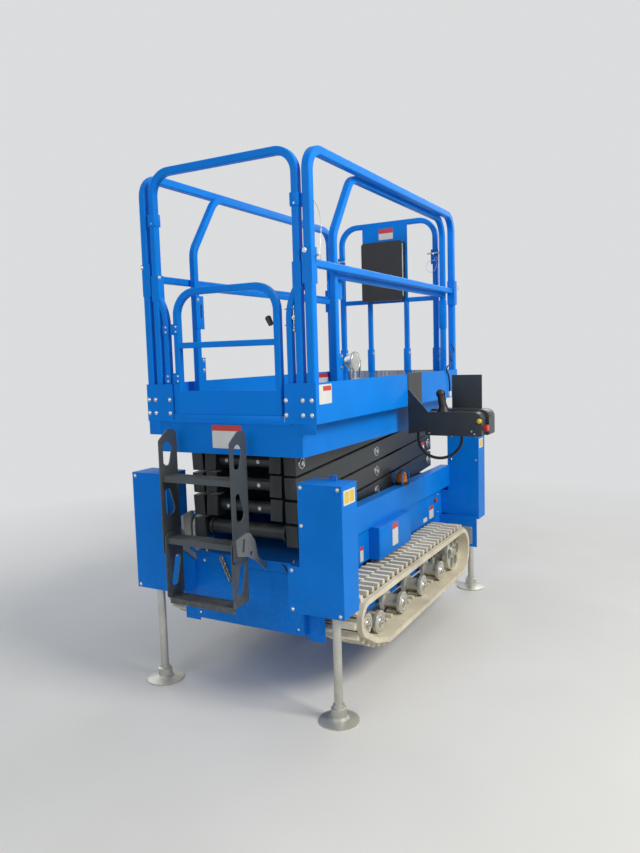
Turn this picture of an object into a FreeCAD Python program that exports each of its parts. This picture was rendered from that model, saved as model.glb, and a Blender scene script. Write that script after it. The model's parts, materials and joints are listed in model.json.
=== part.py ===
import FreeCAD, Part
import math
import os
import re
from types import SimpleNamespace
from FreeCAD import Placement, Rotation, Vector

# Tracked scissor lift with four stabiliser legs, in millimetres.
# +X is the machine's right, the console side, -Y the ladder end, +Z up.
# The origin lies on the floor, midway between the four stabiliser boxes.

os.makedirs("parts", exist_ok=True)
doc = FreeCAD.newDocument("tracked_scissor_lift")

# Driving dimensions

SIZES = {
    # stabiliser boxes and legs
    "box_end": 1038, "box_depth": 140,
    "box_bottom": 476, "box_wall": 5,
    "eye_half": 16, "eye_height": 13, "eye_hole": 8, "eye_shift": 16, "eye_plate": 10, "eye_along": 936,
    "leg_along": 965, "rod_radius": 19, "rod_fit": 0.1, "rod_top": 620,
    "barrel_radius": 35, "foot_radius": 87.5, "foot_rim": 7, "foot_hub_radius": 34,
    "foot_hub_top": 58, "foot_neck_radius": 25, "foot_neck_top": 74,
    # chassis
    "tub_half": 300, "tub_end": 928, "tub_bottom": 327, "tub_wall": 12,
    "crossmember_height": 150, "battery_end": 420,
    "beam_wall": 10,
    "cabinet_bottom": 520, "cabinet_end": 760,
    "locker_front": 330, "locker_rear": 100,
    "beacon_along": 150, "beacon_radius": 34, "beacon_height": 78,
    "beacon_base": 10,
    # tracks
    "track_bottom": 177, "track_height": 325,
    "idler_along": 593, "sprocket_along": 763, "sprocket_radius": 62,
    "tension_along": 660, "tension_height": 318, "tension_radius": 50,
    "belt_thickness": 25, "lug_inset": 24, "lug_height": 22, "lug_length": 30, "lug_pitch": 60,
    "wheel_fit": 0.3, "roller_radius": 56, "roller_first": 520, "roller_pitch": 295,
    "flange_width": 16, "roller_hub_radius": 34,
    "carrier_bottom": 262, "carrier_top": 400,
    "axle_radius": 14, "axle_beam_half": 45, "axle_beam_along": 290,
    "guard_bottom": 300, "guard_top": 498, "guard_rear": 864,
    # scissor stack
    "arm_length": 1600, "stage_pitch": 106, "arm_depth": 95, "arm_width": 60, "arm_wall": 6,
    "arm_overhang": 50, "arm_gap": 15, "pin_radius": 20, "pin_fit": 0.1,
    "boss_radius": 31, "tube_radius": 28, "pivot_along": 878, "pivot_height": 772,
    "shaft_radius": 33, "collar_radius": 41, "collar_width": 12, "pin_cap": 5,
    "roller_gap": 1, "slide_radius": 34,
    "slide_start": 110,
    "end_plate_inset": 34, "lug_gap": 6, "lug_thickness": 14, "lug_radius": 46,
    # lift cylinder between the first two inner frames
    "ram_span": 650, "ram_offset": 30, "ram_radius": 52, "ram_rod_radius": 30, "ram_eye": 34,
    "ram_eye_half": 26, "ear_gap": 9, "ear_thickness": 12, "ear_reach": 140, "ear_tube": 24,
    # platform
    "plate": 4, "deck_front": 1028, "deck_rear": 814,
    "deck_thickness": 8,
    "skirt_plate": 8, "skirt_cut": 190, "skirt_rise": 420,
    "channel_wall": 8, "channel_front": 80,
    "channel_rear": 790, "hanger_thickness": 8, "hanger_half": 36,
    # guard rails
    "rail_tube": 38, "rail_corner": 7, "rail_bend": 95,
    "sleeve": 46, "hoop_collar": 40,
    "hoop_tube": 34, "gate_post_tube": 28, "gate_post_lean": 66, "gate_post_bend": 225,
    # gate
    "gate_tube": 30, "gate_bend": 105, "hinge_radius": 6,
    "knuckle_radius": 10, "hinge_fit": 0.1, "hinge_half": 20,
    # roll-out deck
    "ext_front": 740, "ext_rear": 804, "ext_lift": 5, "ext_plate": 8,
    "ext_tube": 32, "ext_post": 722, "ext_top_front": 528,
    "ext_rear_post": 742, "ext_bend": 110,
    "end_short_post": 127, "runner_width": 20, "runner_fit": 0.3,
    "folder_half": 140, "folder_depth": 55,
    "folder_centre": 10, "panel_half": 155,
    # console
    "console_front": 28, "console_rear": 172,
    "console_round": 40, "stick_height": 84, "stick_lean": 10, "button_radius": 17,
    "console_step": 62, "shell_reach": 15, "shell_rise": 8, "cable_seat_width": 34, "cable_seat_depth": 44,
    "button_height": 24, "cable_radius": 8,
    # lamp on the toe board
    "lamp_along": 640, "lamp_radius": 44, "lamp_depth": 48, "lamp_stem": 8,
    # ladder
    "ladder_left": 281, "ladder_right": 98, "ladder_front": 1158, "ladder_rear": 1040,
    "ladder_plate": 6, "step_depth": 80, "step_height": 26, "ladder_pivot_along": 1062, "ladder_fit": 5,
    "ladder_pin": 8, "hinge_plate": 6,
    "beam_rise": 49, "beam_drop": 85, "tub_drop": 37, "deck_rise": 81,
    "battery_gap": 50, "battery_drop": 50,
    "axle_stub": 8,
}

# How far each face or centre line lies outside the tub's side, less than 0 being inside it
BESIDE_TUB = {
    "box_toe_inner": -10, "rail_inner": -15, "slide_inner": -8, "channel_inner": -12, "hanger_inner": -90,
    "skirt_half": 75, "deck_half": 141.5, "hoop_half": 70, "gate_post": 24, "gate_half": -36, "hinge_across": -4,
    "ext_half": 98, "end_half": 24, "console_start": 238, "console_end": 536, "hood_start": 322, "hood_end": 485,
    "gusset_reach": 267, "stick_across": 325,
    "box_inner": 49, "box_outer": 254, "leg_across": 178, "beam_outer": 60, "cabinet_outer": 40,
    "locker_outer": 100, "beacon_across": 30, "track_inner": 10, "track_outer": 240, "roller_inner": 70,
    "roller_outer": 180, "carrier_inner": 18, "carrier_outer": 42, "guard_outer": 249, "front_guard_outer": 85,
    "slide_outer": 38, "channel_web": 45,
}

# Heights above the deck's underside
ABOVE_DECK = {
    "toe_top": 168, "rail_top": 1120, "rail_mid": 650, "sleeve_bottom": 567, "sleeve_top": 711,
    "gate_post_top": 580, "gate_top": 590, "gate_mid": 340, "gate_bottom": 28,
    "collar_bottom": 543, "collar_top": 657, "kick_top": 138,
    "hinge_low": 193, "hinge_high": 413, "ext_knee": 800, "ext_stub_top": 284, "ext_top": 1095, "ext_mid": 626,
    "end_top": 1117, "end_mid": 616, "folder_bottom": 613, "folder_top": 983, "panel_top": 1107,
    "hood_top": 154, "gusset_top": 95,
}

# Depths below the deck's underside
BELOW_DECK = {
    "skirt_bottom": 141, "skirt_tail": 27, "bracket_bottom": 147, "console_bottom": 153,
    "console_top": 30, "ladder_top": 29, "step_one": 258, "step_two": 535, "step_three": 807,
    "ladder_joint": 542, "ladder_pivot": 547, "ladder_bottom": 781, "box_top": 246, "box_toe_top": 600,
}

# Cells that follow others
FITTED = {
    "beam_top": "pivot_height+beam_rise", "beam_bottom": "pivot_height-beam_drop",
    "deck_bottom": "pivot_height+4*stage_pitch+deck_rise",
    "tub_top": "beam_bottom-tub_drop", "battery_top": "tub_top-battery_drop",
    "crossmember_bottom": "tub_top-crossmember_height",
    "lug_inner": "tub_half-lug_thickness",
    "inner_arm_face": "lug_inner-lug_gap-2*arm_width-arm_gap",
}
for table, base, sign in ((BESIDE_TUB, "tub_half", "+"), (ABOVE_DECK, "deck_bottom", "+"),
                          (BELOW_DECK, "deck_bottom", "-")):
    for name, value in table.items():
        SIZES[f"{name}_offset"] = value
        FITTED[name] = f"{base}{sign}{name}_offset"

sheet = doc.addObject("Spreadsheet::Sheet", "Sizes")
cells = [(alias, str(value)) for alias, value in SIZES.items()]
cells += [(alias, f"={formula}") for alias, formula in FITTED.items()]
for row, (alias, text) in enumerate(cells, 1):
    sheet.set(f"A{row}", alias)
    sheet.setAlias(f"B{row}", alias)
    sheet.set(f"B{row}", text)
doc.recompute()
s = SimpleNamespace(**{alias: float(sheet.get(alias)) for alias, text in cells})

nodes = []


def bind(obj, prop, text):
    """Drives one property by a sum of sheet cells, named without the sheet."""
    obj.setExpression(prop, re.sub(r"[a-z][a-z_]*", lambda word: "Sizes." + word.group(0), text))


def between(side, low, high):
    """The span from low to high on the right side, or its mirror on the left."""
    return (low, high) if side > 0 else (f"-({high})", f"-({low})")


def block(name, x, y, z):
    """A box from its two ends along each axis."""
    obj = doc.addObject("Part::Box", name)
    for size, place, (low, high) in (("Length", "x", x), ("Width", "y", y), ("Height", "z", z)):
        bind(obj, size, f"({high})-({low})")
        bind(obj, f"Placement.Base.{place}", low)
    return obj


def post(name, radius, x, y, z):
    """An upright cylinder, z being its two ends."""
    obj = doc.addObject("Part::Cylinder", name)
    bind(obj, "Radius", radius)
    bind(obj, "Height", f"({z[1]})-({z[0]})")
    bind(obj, "Placement.Base.x", x)
    bind(obj, "Placement.Base.y", y)
    bind(obj, "Placement.Base.z", z[0])
    return obj


def bar(name, radius, x, y, z):
    """A cylinder across the machine, x being its two ends."""
    obj = doc.addObject("Part::Cylinder", name)
    obj.Placement = Placement(Vector(), Rotation(Vector(0, 1, 0), 90))
    bind(obj, "Radius", radius)
    bind(obj, "Height", f"({x[1]})-({x[0]})")
    bind(obj, "Placement.Base.x", x[0])
    bind(obj, "Placement.Base.y", y)
    bind(obj, "Placement.Base.z", z)
    return obj


def fuse(name, pieces):
    obj = doc.addObject("Part::MultiFuse", name)
    obj.Shapes = pieces
    obj.Refine = True
    return obj


def cut(name, base, tool):
    obj = doc.addObject("Part::Cut", name)
    obj.Base = base
    obj.Tool = tool
    return obj


def solid(name, shape, placement=None):
    """A piece whose shape comes from Part's own functions."""
    obj = doc.addObject("Part::Feature", name)
    obj.Shape = shape
    if placement is not None:
        obj.Placement = placement
    return obj


def node(label, obj):
    """Marks an object as a sub-part and names its file."""
    obj.Label = label
    nodes.append(obj)
    return obj


def mirrored(shape):
    """The left-hand twin of a right-hand shape."""
    return shape.mirror(Vector(), Vector(1, 0, 0))


def joined(shapes):
    """One shape of several that touch, with the seams between them removed."""
    return shapes[0].multiFuse(shapes[1:]).removeSplitter() if len(shapes) > 1 else shapes[0]


def pad(points, thickness):
    """A prism on a closed outline; a pair (middle, end) in place of a point makes an arc."""
    edges = []
    here = points[0]
    for step in points[1:] + [points[0]]:
        if isinstance(step, tuple):
            edges.append(Part.Arc(here, step[0], step[1]).toShape())
            here = step[1]
        elif (step - here).Length > 1e-6:
            edges.append(Part.LineSegment(here, step).toShape())
            here = step
    return Part.Face(Part.Wire(edges)).extrude(thickness)


def rounded(points, radius, normal):
    """A closed outline through straight-sided corners, each rounded by its radius."""
    steps = []
    count = len(points)
    for index, corner in enumerate(points):
        size = radius[index] if isinstance(radius, list) else radius
        if size <= 0:
            steps.append(corner)
            continue
        back = (points[index - 1] - corner).normalize()
        ahead = (points[(index + 1) % count] - corner).normalize()
        half = back.getAngle(ahead) / 2
        run = size / math.tan(half)
        centre = corner + (back + ahead).normalize() * (size / math.sin(half))
        middle = centre + (corner - centre).normalize() * size
        steps.append(corner + back * run)
        steps.append((middle, corner + ahead * run))
    return steps


def section(centre, across, upward, half, corner):
    """The square tube's section with rounded edges, as a face."""
    corners = [centre + across * (a * half) + upward * (b * half)
               for a, b in ((1, 1), (-1, 1), (-1, -1), (1, -1))]
    steps = rounded(corners, corner, across.cross(upward))
    edges = []
    here = steps[0]
    for step in steps[1:] + [steps[0]]:
        if isinstance(step, tuple):
            edges.append(Part.Arc(here, step[0], step[1]).toShape())
            here = step[1]
        elif (step - here).Length > 1e-6:
            edges.append(Part.LineSegment(here, step).toShape())
            here = step
    return Part.Face(Part.Wire(edges))


def tube(points, size, bend, normal, corner=None):
    """A square tube along a flat route: straight runs with a swept bend at each corner."""
    half = size / 2
    corner = s.rail_corner if corner is None else corner
    pieces = []
    here = points[0]
    for index in range(1, len(points)):
        way = (points[index] - here).normalize()
        upward = normal.cross(way)
        last = index == len(points) - 1
        if last:
            end = points[index]
        else:
            ahead = (points[index + 1] - points[index]).normalize()
            turn = way.getAngle(ahead)
            run = bend * math.tan(turn / 2)
            end = points[index] - way * run
        pieces.append(section(here, normal, upward, half, corner).extrude(end - here))
        if not last:
            spin = way.cross(ahead).normalize()
            centre = end + spin.cross(way) * bend
            face = section(end, normal, upward, half, corner)
            pieces.append(face.revolve(centre, spin, math.degrees(turn)))
            here = points[index] + ahead * run
    return joined(pieces)


RIGHT, LEFT = 1, -1
SIDES = (("right", RIGHT), ("left", LEFT))
ENDS = (("front", -1), ("rear", 1))
ALONG_X = Vector(1, 0, 0)
ALONG_Y = Vector(0, 1, 0)
ALONG_Z = Vector(0, 0, 1)


def yz(x, y, z):
    return Vector(x, y, z)


# Stabiliser boxes: hollow columns with the jack's barrel inside, and legs with round feet

def foot_profile():
    """The leg turned about its own axis: rod, neck, hub and the dished foot plate."""
    outline = [
        (0, 0), (s.foot_radius, 0), (s.foot_radius, s.foot_rim),
        (s.foot_hub_radius + 12, s.foot_rim + 9), (s.foot_hub_radius, s.foot_rim + 18),
        (s.foot_hub_radius, s.foot_hub_top), (s.foot_neck_radius, s.foot_hub_top + 5),
        (s.foot_neck_radius, s.foot_neck_top), (s.rod_radius, s.foot_neck_top),
        (s.rod_radius, s.rod_top), (0, s.rod_top),
    ]
    return Part.makePolygon([Vector(radius, 0, height) for radius, height in outline + outline[:1]])


for end_name, end in ENDS:
    for side_name, side in SIDES:
        place = f"{end_name}_{side_name}"
        outer_end = "box_end" if end > 0 else "-box_end"
        inner_end = f"({outer_end})-({'box_depth' if end > 0 else '-box_depth'})"
        along = (inner_end, outer_end) if end > 0 else (outer_end, inner_end)
        toe_along = ("tub_end", outer_end) if end > 0 else (outer_end, "-tub_end")
        inside = (f"({along[0]})+box_wall", f"({along[1]})-box_wall")
        leg_y = "leg_along" if end > 0 else "-leg_along"
        leg_x = "leg_across" if side > 0 else "-leg_across"
        shell = block(f"box_shell_{place}", between(side, "box_inner", "box_outer"),
                      along, ("box_bottom", "box_top"))
        hollow = block(f"box_hollow_{place}",
                       between(side, "box_inner+box_wall", "box_outer-box_wall"),
                       inside, ("box_bottom+box_wall", "box_top-box_wall"))
        toe = block(f"box_toe_{place}", between(side, "box_toe_inner", "box_inner"),
                    toe_along, ("box_bottom", "box_toe_top"))
        column = cut(f"box_column_{place}", shell, hollow)
        barrel = post(f"jack_barrel_{place}", "barrel_radius", leg_x, leg_y,
                      ("box_bottom", "box_top"))
        walls = fuse(f"box_walls_{place}", [column, toe, barrel])
        bore = post(f"jack_bore_{place}", "rod_radius+rod_fit", leg_x, leg_y,
                    ("box_bottom-box_wall", "box_top-box_wall"))
        eye_x = f"({leg_x})-({side})*eye_shift"
        across = (f"({eye_x})-eye_half", f"({eye_x})+eye_half")
        eye_y = "eye_along" if end > 0 else "-eye_along"
        plate = block(f"eye_plate_{place}", across, (eye_y, f"({eye_y})+eye_plate"),
                      ("box_top", "box_top+2*eye_height"))
        eye_bore = doc.addObject("Part::Cylinder", f"eye_bore_{place}")
        eye_bore.Placement = Placement(Vector(), Rotation(Vector(1, 0, 0), -90))
        bind(eye_bore, "Radius", "eye_hole")
        bind(eye_bore, "Height", "eye_plate")
        bind(eye_bore, "Placement.Base.x", eye_x)
        bind(eye_bore, "Placement.Base.y", eye_y)
        bind(eye_bore, "Placement.Base.z", "box_top+eye_height")
        walls.Shapes = walls.Shapes + [plate]
        bores = fuse(f"box_bores_{place}", [bore, eye_bore])
        node(f"stabiliser_box_{place}", cut(f"box_{place}", walls, bores))
        leg = solid(f"leg_{place}", Part.Face(foot_profile()).revolve(Vector(), ALONG_Z, 360),
                    Placement(Vector(side * s.leg_across, end * s.leg_along, 0), Rotation()))
        node(f"stabiliser_leg_{place}", leg)

# Chassis tub, with the battery pack inside, and a crossmember to the boxes at each end

tub = block("tub_body", ("-tub_half", "tub_half"), ("-tub_end", "tub_end"), ("tub_bottom", "tub_top"))
ears = [block(f"crossmember_{name}", ("-box_inner", "box_inner"),
              ("-tub_end", "-tub_end+box_depth-(box_end-tub_end)") if end < 0
              else ("tub_end-box_depth+(box_end-tub_end)", "tub_end"),
              ("crossmember_bottom", "tub_top")) for name, end in ENDS]
tub_hollow = block("tub_hollow", ("-tub_half+tub_wall", "tub_half-tub_wall"),
                   ("-tub_end+tub_wall", "tub_end-tub_wall"),
                   ("tub_bottom+tub_wall", "tub_top-tub_wall"))
node("chassis_tub", cut("tub", fuse("tub_outer", [tub] + ears), tub_hollow))
node("battery_pack", block("battery", ("-tub_half+battery_gap", "tub_half-battery_gap"),
                           ("-battery_end", "battery_end"), ("tub_bottom+tub_wall", "battery_top")))

# Side beams: a closed box below, an open channel above for the slide rollers


def beam_outline():
    rail = s.pivot_height - s.slide_radius - s.roller_gap
    wall = s.beam_wall
    return [
        (s.tub_half, s.beam_bottom), (s.beam_outer, s.beam_bottom), (s.beam_outer, s.beam_top),
        (s.tub_half, s.beam_top), (s.tub_half, s.beam_top - wall),
        (s.beam_outer - wall, s.beam_top - wall), (s.beam_outer - wall, rail), (s.tub_half, rail),
    ]


beam_length = 2 * (s.box_end - s.box_depth)
for side_name, side in SIDES:
    start = -beam_length / 2
    points = [Vector(side * x, start, z) for x, z in beam_outline()]
    lip_top = s.pivot_height - s.slide_radius - s.roller_gap
    lip = Part.makeBox(s.tub_half - s.rail_inner, beam_length / 2 + s.slide_start, s.beam_wall,
                       Vector(s.rail_inner, -s.slide_start, lip_top - s.beam_wall))
    lip = lip if side > 0 else mirrored(lip)
    node(f"side_beam_{side_name}", solid(f"beam_{side_name}", joined([
        pad(points, Vector(0, beam_length, 0)), lip])))

# Pivot shaft of the scissor, in two lugs that stand on brackets beside the front boxes


def end_plate():
    """The rounded plate on the left beam's front end, its corners along Y from the beam's end."""
    face = -s.beam_outer + s.end_plate_inset
    start = -beam_length / 2
    corners = [(0, -60, 0), (0, 68, 6), (-76, 54, 6), (-76, -42, 44)]
    return pad(rounded([Vector(face, start + along, s.pivot_height + rise) for along, rise, radius in corners],
                       [radius for along, rise, radius in corners], ALONG_X), Vector(s.lug_thickness, 0, 0))


for side_name, side in SIDES:
    face = side * s.lug_inner
    centre = Vector(face, -s.pivot_along, s.pivot_height)
    radius = s.lug_radius
    lug = pad([Vector(face, -s.pivot_along - radius, s.tub_top),
               Vector(face, -s.pivot_along - radius, s.pivot_height),
               (centre + Vector(0, 0, radius), centre + Vector(0, radius, 0)),
               Vector(face, -s.pivot_along + radius, s.tub_top)],
              Vector(side * s.lug_thickness, 0, 0))
    hole = Part.makeCylinder(s.pin_radius, s.lug_thickness, centre, Vector(side, 0, 0))
    lug = lug.cut(hole)
    if side < 0:
        lug = Part.makeCompound([lug, end_plate()])
    node(f"pivot_lug_{side_name}", solid(f"lug_{side_name}", lug))

shaft_pieces = [
    bar("shaft_middle", "shaft_radius", ("-inner_arm_face-arm_width", "inner_arm_face+arm_width"),
        "-pivot_along", "pivot_height"),
    bar("shaft_core", "pin_radius", ("-lug_inner-lug_thickness-pin_cap", "lug_inner+lug_thickness+pin_cap"),
        "-pivot_along", "pivot_height"),
]
for side_name, side in SIDES:
    shaft_pieces.append(bar(f"shaft_collar_{side_name}", "collar_radius",
                            between(side, "inner_arm_face+arm_width-collar_width",
                                    "inner_arm_face+arm_width"),
                            "-pivot_along", "pivot_height"))
node("pivot_shaft", fuse("shaft", shaft_pieces))

# Cabinets under the side beams, the middle locker standing proud

for side_name, side in SIDES:
    low = block(f"cabinet_body_{side_name}", between(side, "tub_half", "cabinet_outer"),
                ("-cabinet_end", "cabinet_end"), ("cabinet_bottom", "beam_bottom"))
    proud = block(f"locker_body_{side_name}", between(side, "tub_half", "locker_outer"),
                  ("-locker_front", "locker_rear"), ("cabinet_bottom", "beam_bottom"))
    node(f"side_cabinet_{side_name}", fuse(f"cabinet_{side_name}", [low, proud]))

beacon_profile = Part.Face(Part.makePolygon([
    Vector(0, 0, 0), Vector(s.beacon_radius + 4, 0, 0), Vector(s.beacon_radius + 4, 0, s.beacon_base),
    Vector(s.beacon_radius, 0, s.beacon_base), Vector(s.beacon_radius, 0, s.beacon_height - 10),
    Vector(s.beacon_radius - 10, 0, s.beacon_height), Vector(0, 0, s.beacon_height), Vector(0, 0, 0)]))
node("beacon", solid("beacon_turned", beacon_profile.revolve(Vector(), ALONG_Z, 360),
                     Placement(Vector(s.beacon_across, s.beacon_along, s.beam_top), Rotation())))

# Tracks: a toothed loop round the idler, the rollers and the raised sprocket

track_top = s.track_bottom + s.track_height
tread = s.belt_thickness + s.lug_height
idler_radius = s.track_height / 2 - tread
roller_height = s.track_bottom + tread + s.roller_radius
sprocket_height = track_top - tread - s.sprocket_radius
idler_height = s.track_bottom + s.track_height / 2
roller_places = [-s.roller_first + index * s.roller_pitch for index in range(4)]

# what the belt bends round: place along Y, height, radius of the belt's inner face
BENDS = [
    (s.idler_along, idler_height, idler_radius),
    (-s.roller_first, roller_height, s.roller_radius),
    (-s.tension_along, s.tension_height, s.tension_radius),
    (-s.sprocket_along, sprocket_height, s.sprocket_radius),
]


def belt_line(offset):
    """The belt's line at an offset from its inner face: runs and arcs, one after another."""
    normals = []
    for index, (y, z, radius) in enumerate(BENDS):
        next_y, next_z, next_radius = BENDS[(index + 1) % len(BENDS)]
        way = Vector(0, next_y - y, next_z - z)
        slope = (radius - next_radius) / way.Length
        way.normalize()
        outward = Vector(0, -way.z, way.y)
        normals.append(way * slope + outward * math.sqrt(1 - slope ** 2))
    pieces = []
    for index, (y, z, radius) in enumerate(BENDS):
        centre = Vector(0, y, z)
        start = math.atan2(normals[index - 1].z, normals[index - 1].y)
        end = math.atan2(normals[index].z, normals[index].y)
        sweep = (start - end) % (2 * math.pi)
        pieces.append(("arc", centre, radius + offset, start, sweep))
        following = BENDS[(index + 1) % len(BENDS)]
        first = centre + normals[index] * (radius + offset)
        last = Vector(0, following[0], following[1]) + normals[index] * (following[2] + offset)
        pieces.append(("run", first, last, normals[index], (last - first).Length))
    return pieces


belt_face = belt_line(s.belt_thickness)


def piece_length(piece):
    return piece[2] * piece[4] if piece[0] == "arc" else piece[4]


belt_length = sum(piece_length(piece) for piece in belt_face)
lug_count = round(belt_length / s.lug_pitch)


def belt_point(distance, lift):
    """A point at a distance along the belt's outer face, raised along its normal."""
    distance %= belt_length
    for piece in belt_face:
        length = piece_length(piece)
        if distance <= length:
            break
        distance -= length
    if piece[0] == "arc":
        angle = piece[3] - distance / piece[2]
        return piece[1] + Vector(0, math.cos(angle), math.sin(angle)) * (piece[2] + lift)
    return piece[1] + (piece[2] - piece[1]) * (distance / length) + piece[3] * lift


def lug_column(x, width, shift):
    """One column of lugs, as a toothed loop filled to its middle."""
    pitch = belt_length / lug_count
    flank = s.lug_length / 6
    points = []
    for index in range(lug_count):
        start = (index + shift) * pitch
        for along, lift in ((0, 0), (flank, s.lug_height), (s.lug_length - flank, s.lug_height),
                            (s.lug_length, 0), ((s.lug_length + pitch) / 2, 0)):
            points.append(belt_point(start + along, lift) + Vector(x, 0, 0))
    return Part.Face(Part.makePolygon(points + points[:1])).extrude(Vector(width, 0, 0))


def belt_loop(x, width, offset):
    """The space inside the belt's line at an offset, across its width."""
    steps = []
    for piece in belt_line(offset):
        if piece[0] == "run":
            steps.append(piece[2] + Vector(x, 0, 0))
            continue
        arc = [piece[1] + Vector(x, math.cos(angle) * piece[2], math.sin(angle) * piece[2])
               for angle in (piece[3] - piece[4] / 2, piece[3] - piece[4])]
        steps.append(tuple(arc))
    steps = steps[-1:] + steps[:-1]
    return pad(steps, Vector(width, 0, 0))


def wheel(radius, along, height, stub, hub, windows=0):
    """A twin-flanged wheel on the axle that holds it to the carrier."""
    gap = s.roller_outer - s.roller_inner
    flanges = [Part.makeCylinder(radius, s.flange_width, Vector(start, along, height), ALONG_X)
               for start in (s.roller_inner, s.roller_outer - s.flange_width)]
    shape = Part.makeCylinder(hub, gap, Vector(s.roller_inner, along, height), ALONG_X).multiFuse(flanges)
    for index in range(windows):
        angle = 2 * math.pi * index / windows
        middle = (radius + hub) / 2
        spot = Vector(s.roller_inner, along + middle * math.cos(angle), height + middle * math.sin(angle))
        shape = shape.cut(Part.makeCylinder((radius - hub) / 2 - 9, gap, spot, ALONG_X))
    axle = Part.makeCylinder(s.axle_radius, s.roller_outer + stub - s.carrier_outer,
                             Vector(s.carrier_outer, along, height), ALONG_X)
    return shape.fuse(axle)


half_width = (s.track_outer - s.track_inner) / 2
lug_width = half_width - s.lug_inset
track_shape = joined([belt_loop(s.track_inner, 2 * half_width, s.belt_thickness),
                      lug_column(s.track_inner + s.lug_inset, lug_width, 0),
                      lug_column(s.track_inner + half_width, lug_width, 0.5)])
track_shape = track_shape.cut(belt_loop(s.track_inner, 2 * half_width, 0))
wheel_shapes = [wheel(s.roller_radius - s.wheel_fit, along, roller_height, s.axle_stub, s.roller_hub_radius)
                for along in roller_places]
wheel_shapes.append(wheel(s.tension_radius - s.wheel_fit, -s.tension_along, s.tension_height, s.axle_stub,
                          s.roller_hub_radius - 6))
wheel_shapes.append(wheel(idler_radius - s.wheel_fit, s.idler_along, idler_height, 12, 32, 6))
wheel_shapes.append(wheel(s.sprocket_radius - s.wheel_fit, -s.sprocket_along, sprocket_height, 12, 40))

carrier = pad([Vector(s.carrier_inner, -s.sprocket_along - 30, sprocket_height - 30),
               Vector(s.carrier_inner, -s.tension_along, s.tension_height - 34),
               Vector(s.carrier_inner, -s.roller_first, s.carrier_bottom),
               Vector(s.carrier_inner, s.idler_along, s.carrier_bottom),
               Vector(s.carrier_inner, s.idler_along + 50, idler_height),
               Vector(s.carrier_inner, s.idler_along, s.carrier_top),
               Vector(s.carrier_inner, -s.sprocket_along, s.carrier_top + 20)],
              Vector(s.carrier_outer - s.carrier_inner, 0, 0))
beams = [Part.makeBox(s.carrier_inner - s.tub_half, 2 * s.axle_beam_half, s.carrier_top - s.tub_bottom,
                      Vector(s.tub_half, place - s.axle_beam_half, s.tub_bottom))
         for place in (-s.axle_beam_along, s.axle_beam_along)]
carrier = joined([carrier] + beams)
for side_name, side in SIDES:
    turn = (lambda shape: shape) if side > 0 else mirrored
    node(f"track_{side_name}", solid(f"track_loop_{side_name}", turn(track_shape)))
    node(f"track_wheels_{side_name}", solid(f"wheels_{side_name}", turn(Part.makeCompound(wheel_shapes))))
    node(f"track_carrier_{side_name}", solid(f"carrier_{side_name}", turn(carrier)))
guards = [block(f"guard_front_{name}", between(side, "tub_half", "front_guard_outer"),
                ("box_depth-box_end", "box_depth-box_end+plate"), ("guard_bottom", "guard_top"))
          for name, side in SIDES]
guards += [block(f"guard_rear_{name}", between(side, "tub_half", "guard_outer"),
                 ("guard_rear", "guard_rear+plate"), ("guard_bottom", "guard_top")) for name, side in SIDES]
node("track_guards", doc.addObject("Part::Compound", "guards"))
doc.getObject("guards").Links = guards

# Scissor arms: open square tubes with a boss and a bore at each pin

rest_angle = math.degrees(math.asin(s.stage_pitch / s.arm_length))
outer_arm_face = s.inner_arm_face + s.arm_width + s.arm_gap
reach = math.cos(math.radians(rest_angle)) * s.arm_length
bore_radius = s.pin_radius + s.pin_fit


def arm(face):
    """One arm along +Y from its first pin at the origin, from its inner face outwards."""
    depth = s.arm_depth / 2
    start = -s.arm_overhang
    length = s.arm_length + 2 * s.arm_overhang
    wall = s.arm_wall
    outer = Part.makeBox(s.arm_width, length, s.arm_depth, Vector(face, start, -depth))
    inner = Part.makeBox(s.arm_width - 2 * wall, length - 2 * wall, s.arm_depth - 2 * wall,
                         Vector(face + wall, start + wall, -depth + wall))
    places = (0, s.arm_length / 2, s.arm_length)
    bosses = [Part.makeCylinder(s.boss_radius, s.arm_width, Vector(face, place, 0), ALONG_X)
              for place in places]
    bores = [Part.makeCylinder(bore_radius, s.arm_width, Vector(face, place, 0), ALONG_X)
             for place in places]
    return outer.cut(inner).multiFuse(bosses).cut(Part.makeCompound(bores))


def both_sides(shape):
    return Part.makeCompound([shape, mirrored(shape)])


def stage_height(stage):
    """Height of the joint under a stage, the stages being counted from one."""
    return s.pivot_height + (stage - 1) * s.stage_pitch


ear_face = s.ram_eye_half + s.ear_gap
stub_start = s.inner_arm_face
stub_end = outer_arm_face + s.arm_width + s.pin_cap


def stub_pin(place, end):
    """A pin fixed in an inner arm that reaches out through the outer arm."""
    return Part.makeCylinder(s.pin_radius, end - stub_start, Vector(stub_start, place, 0), ALONG_X)


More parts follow.
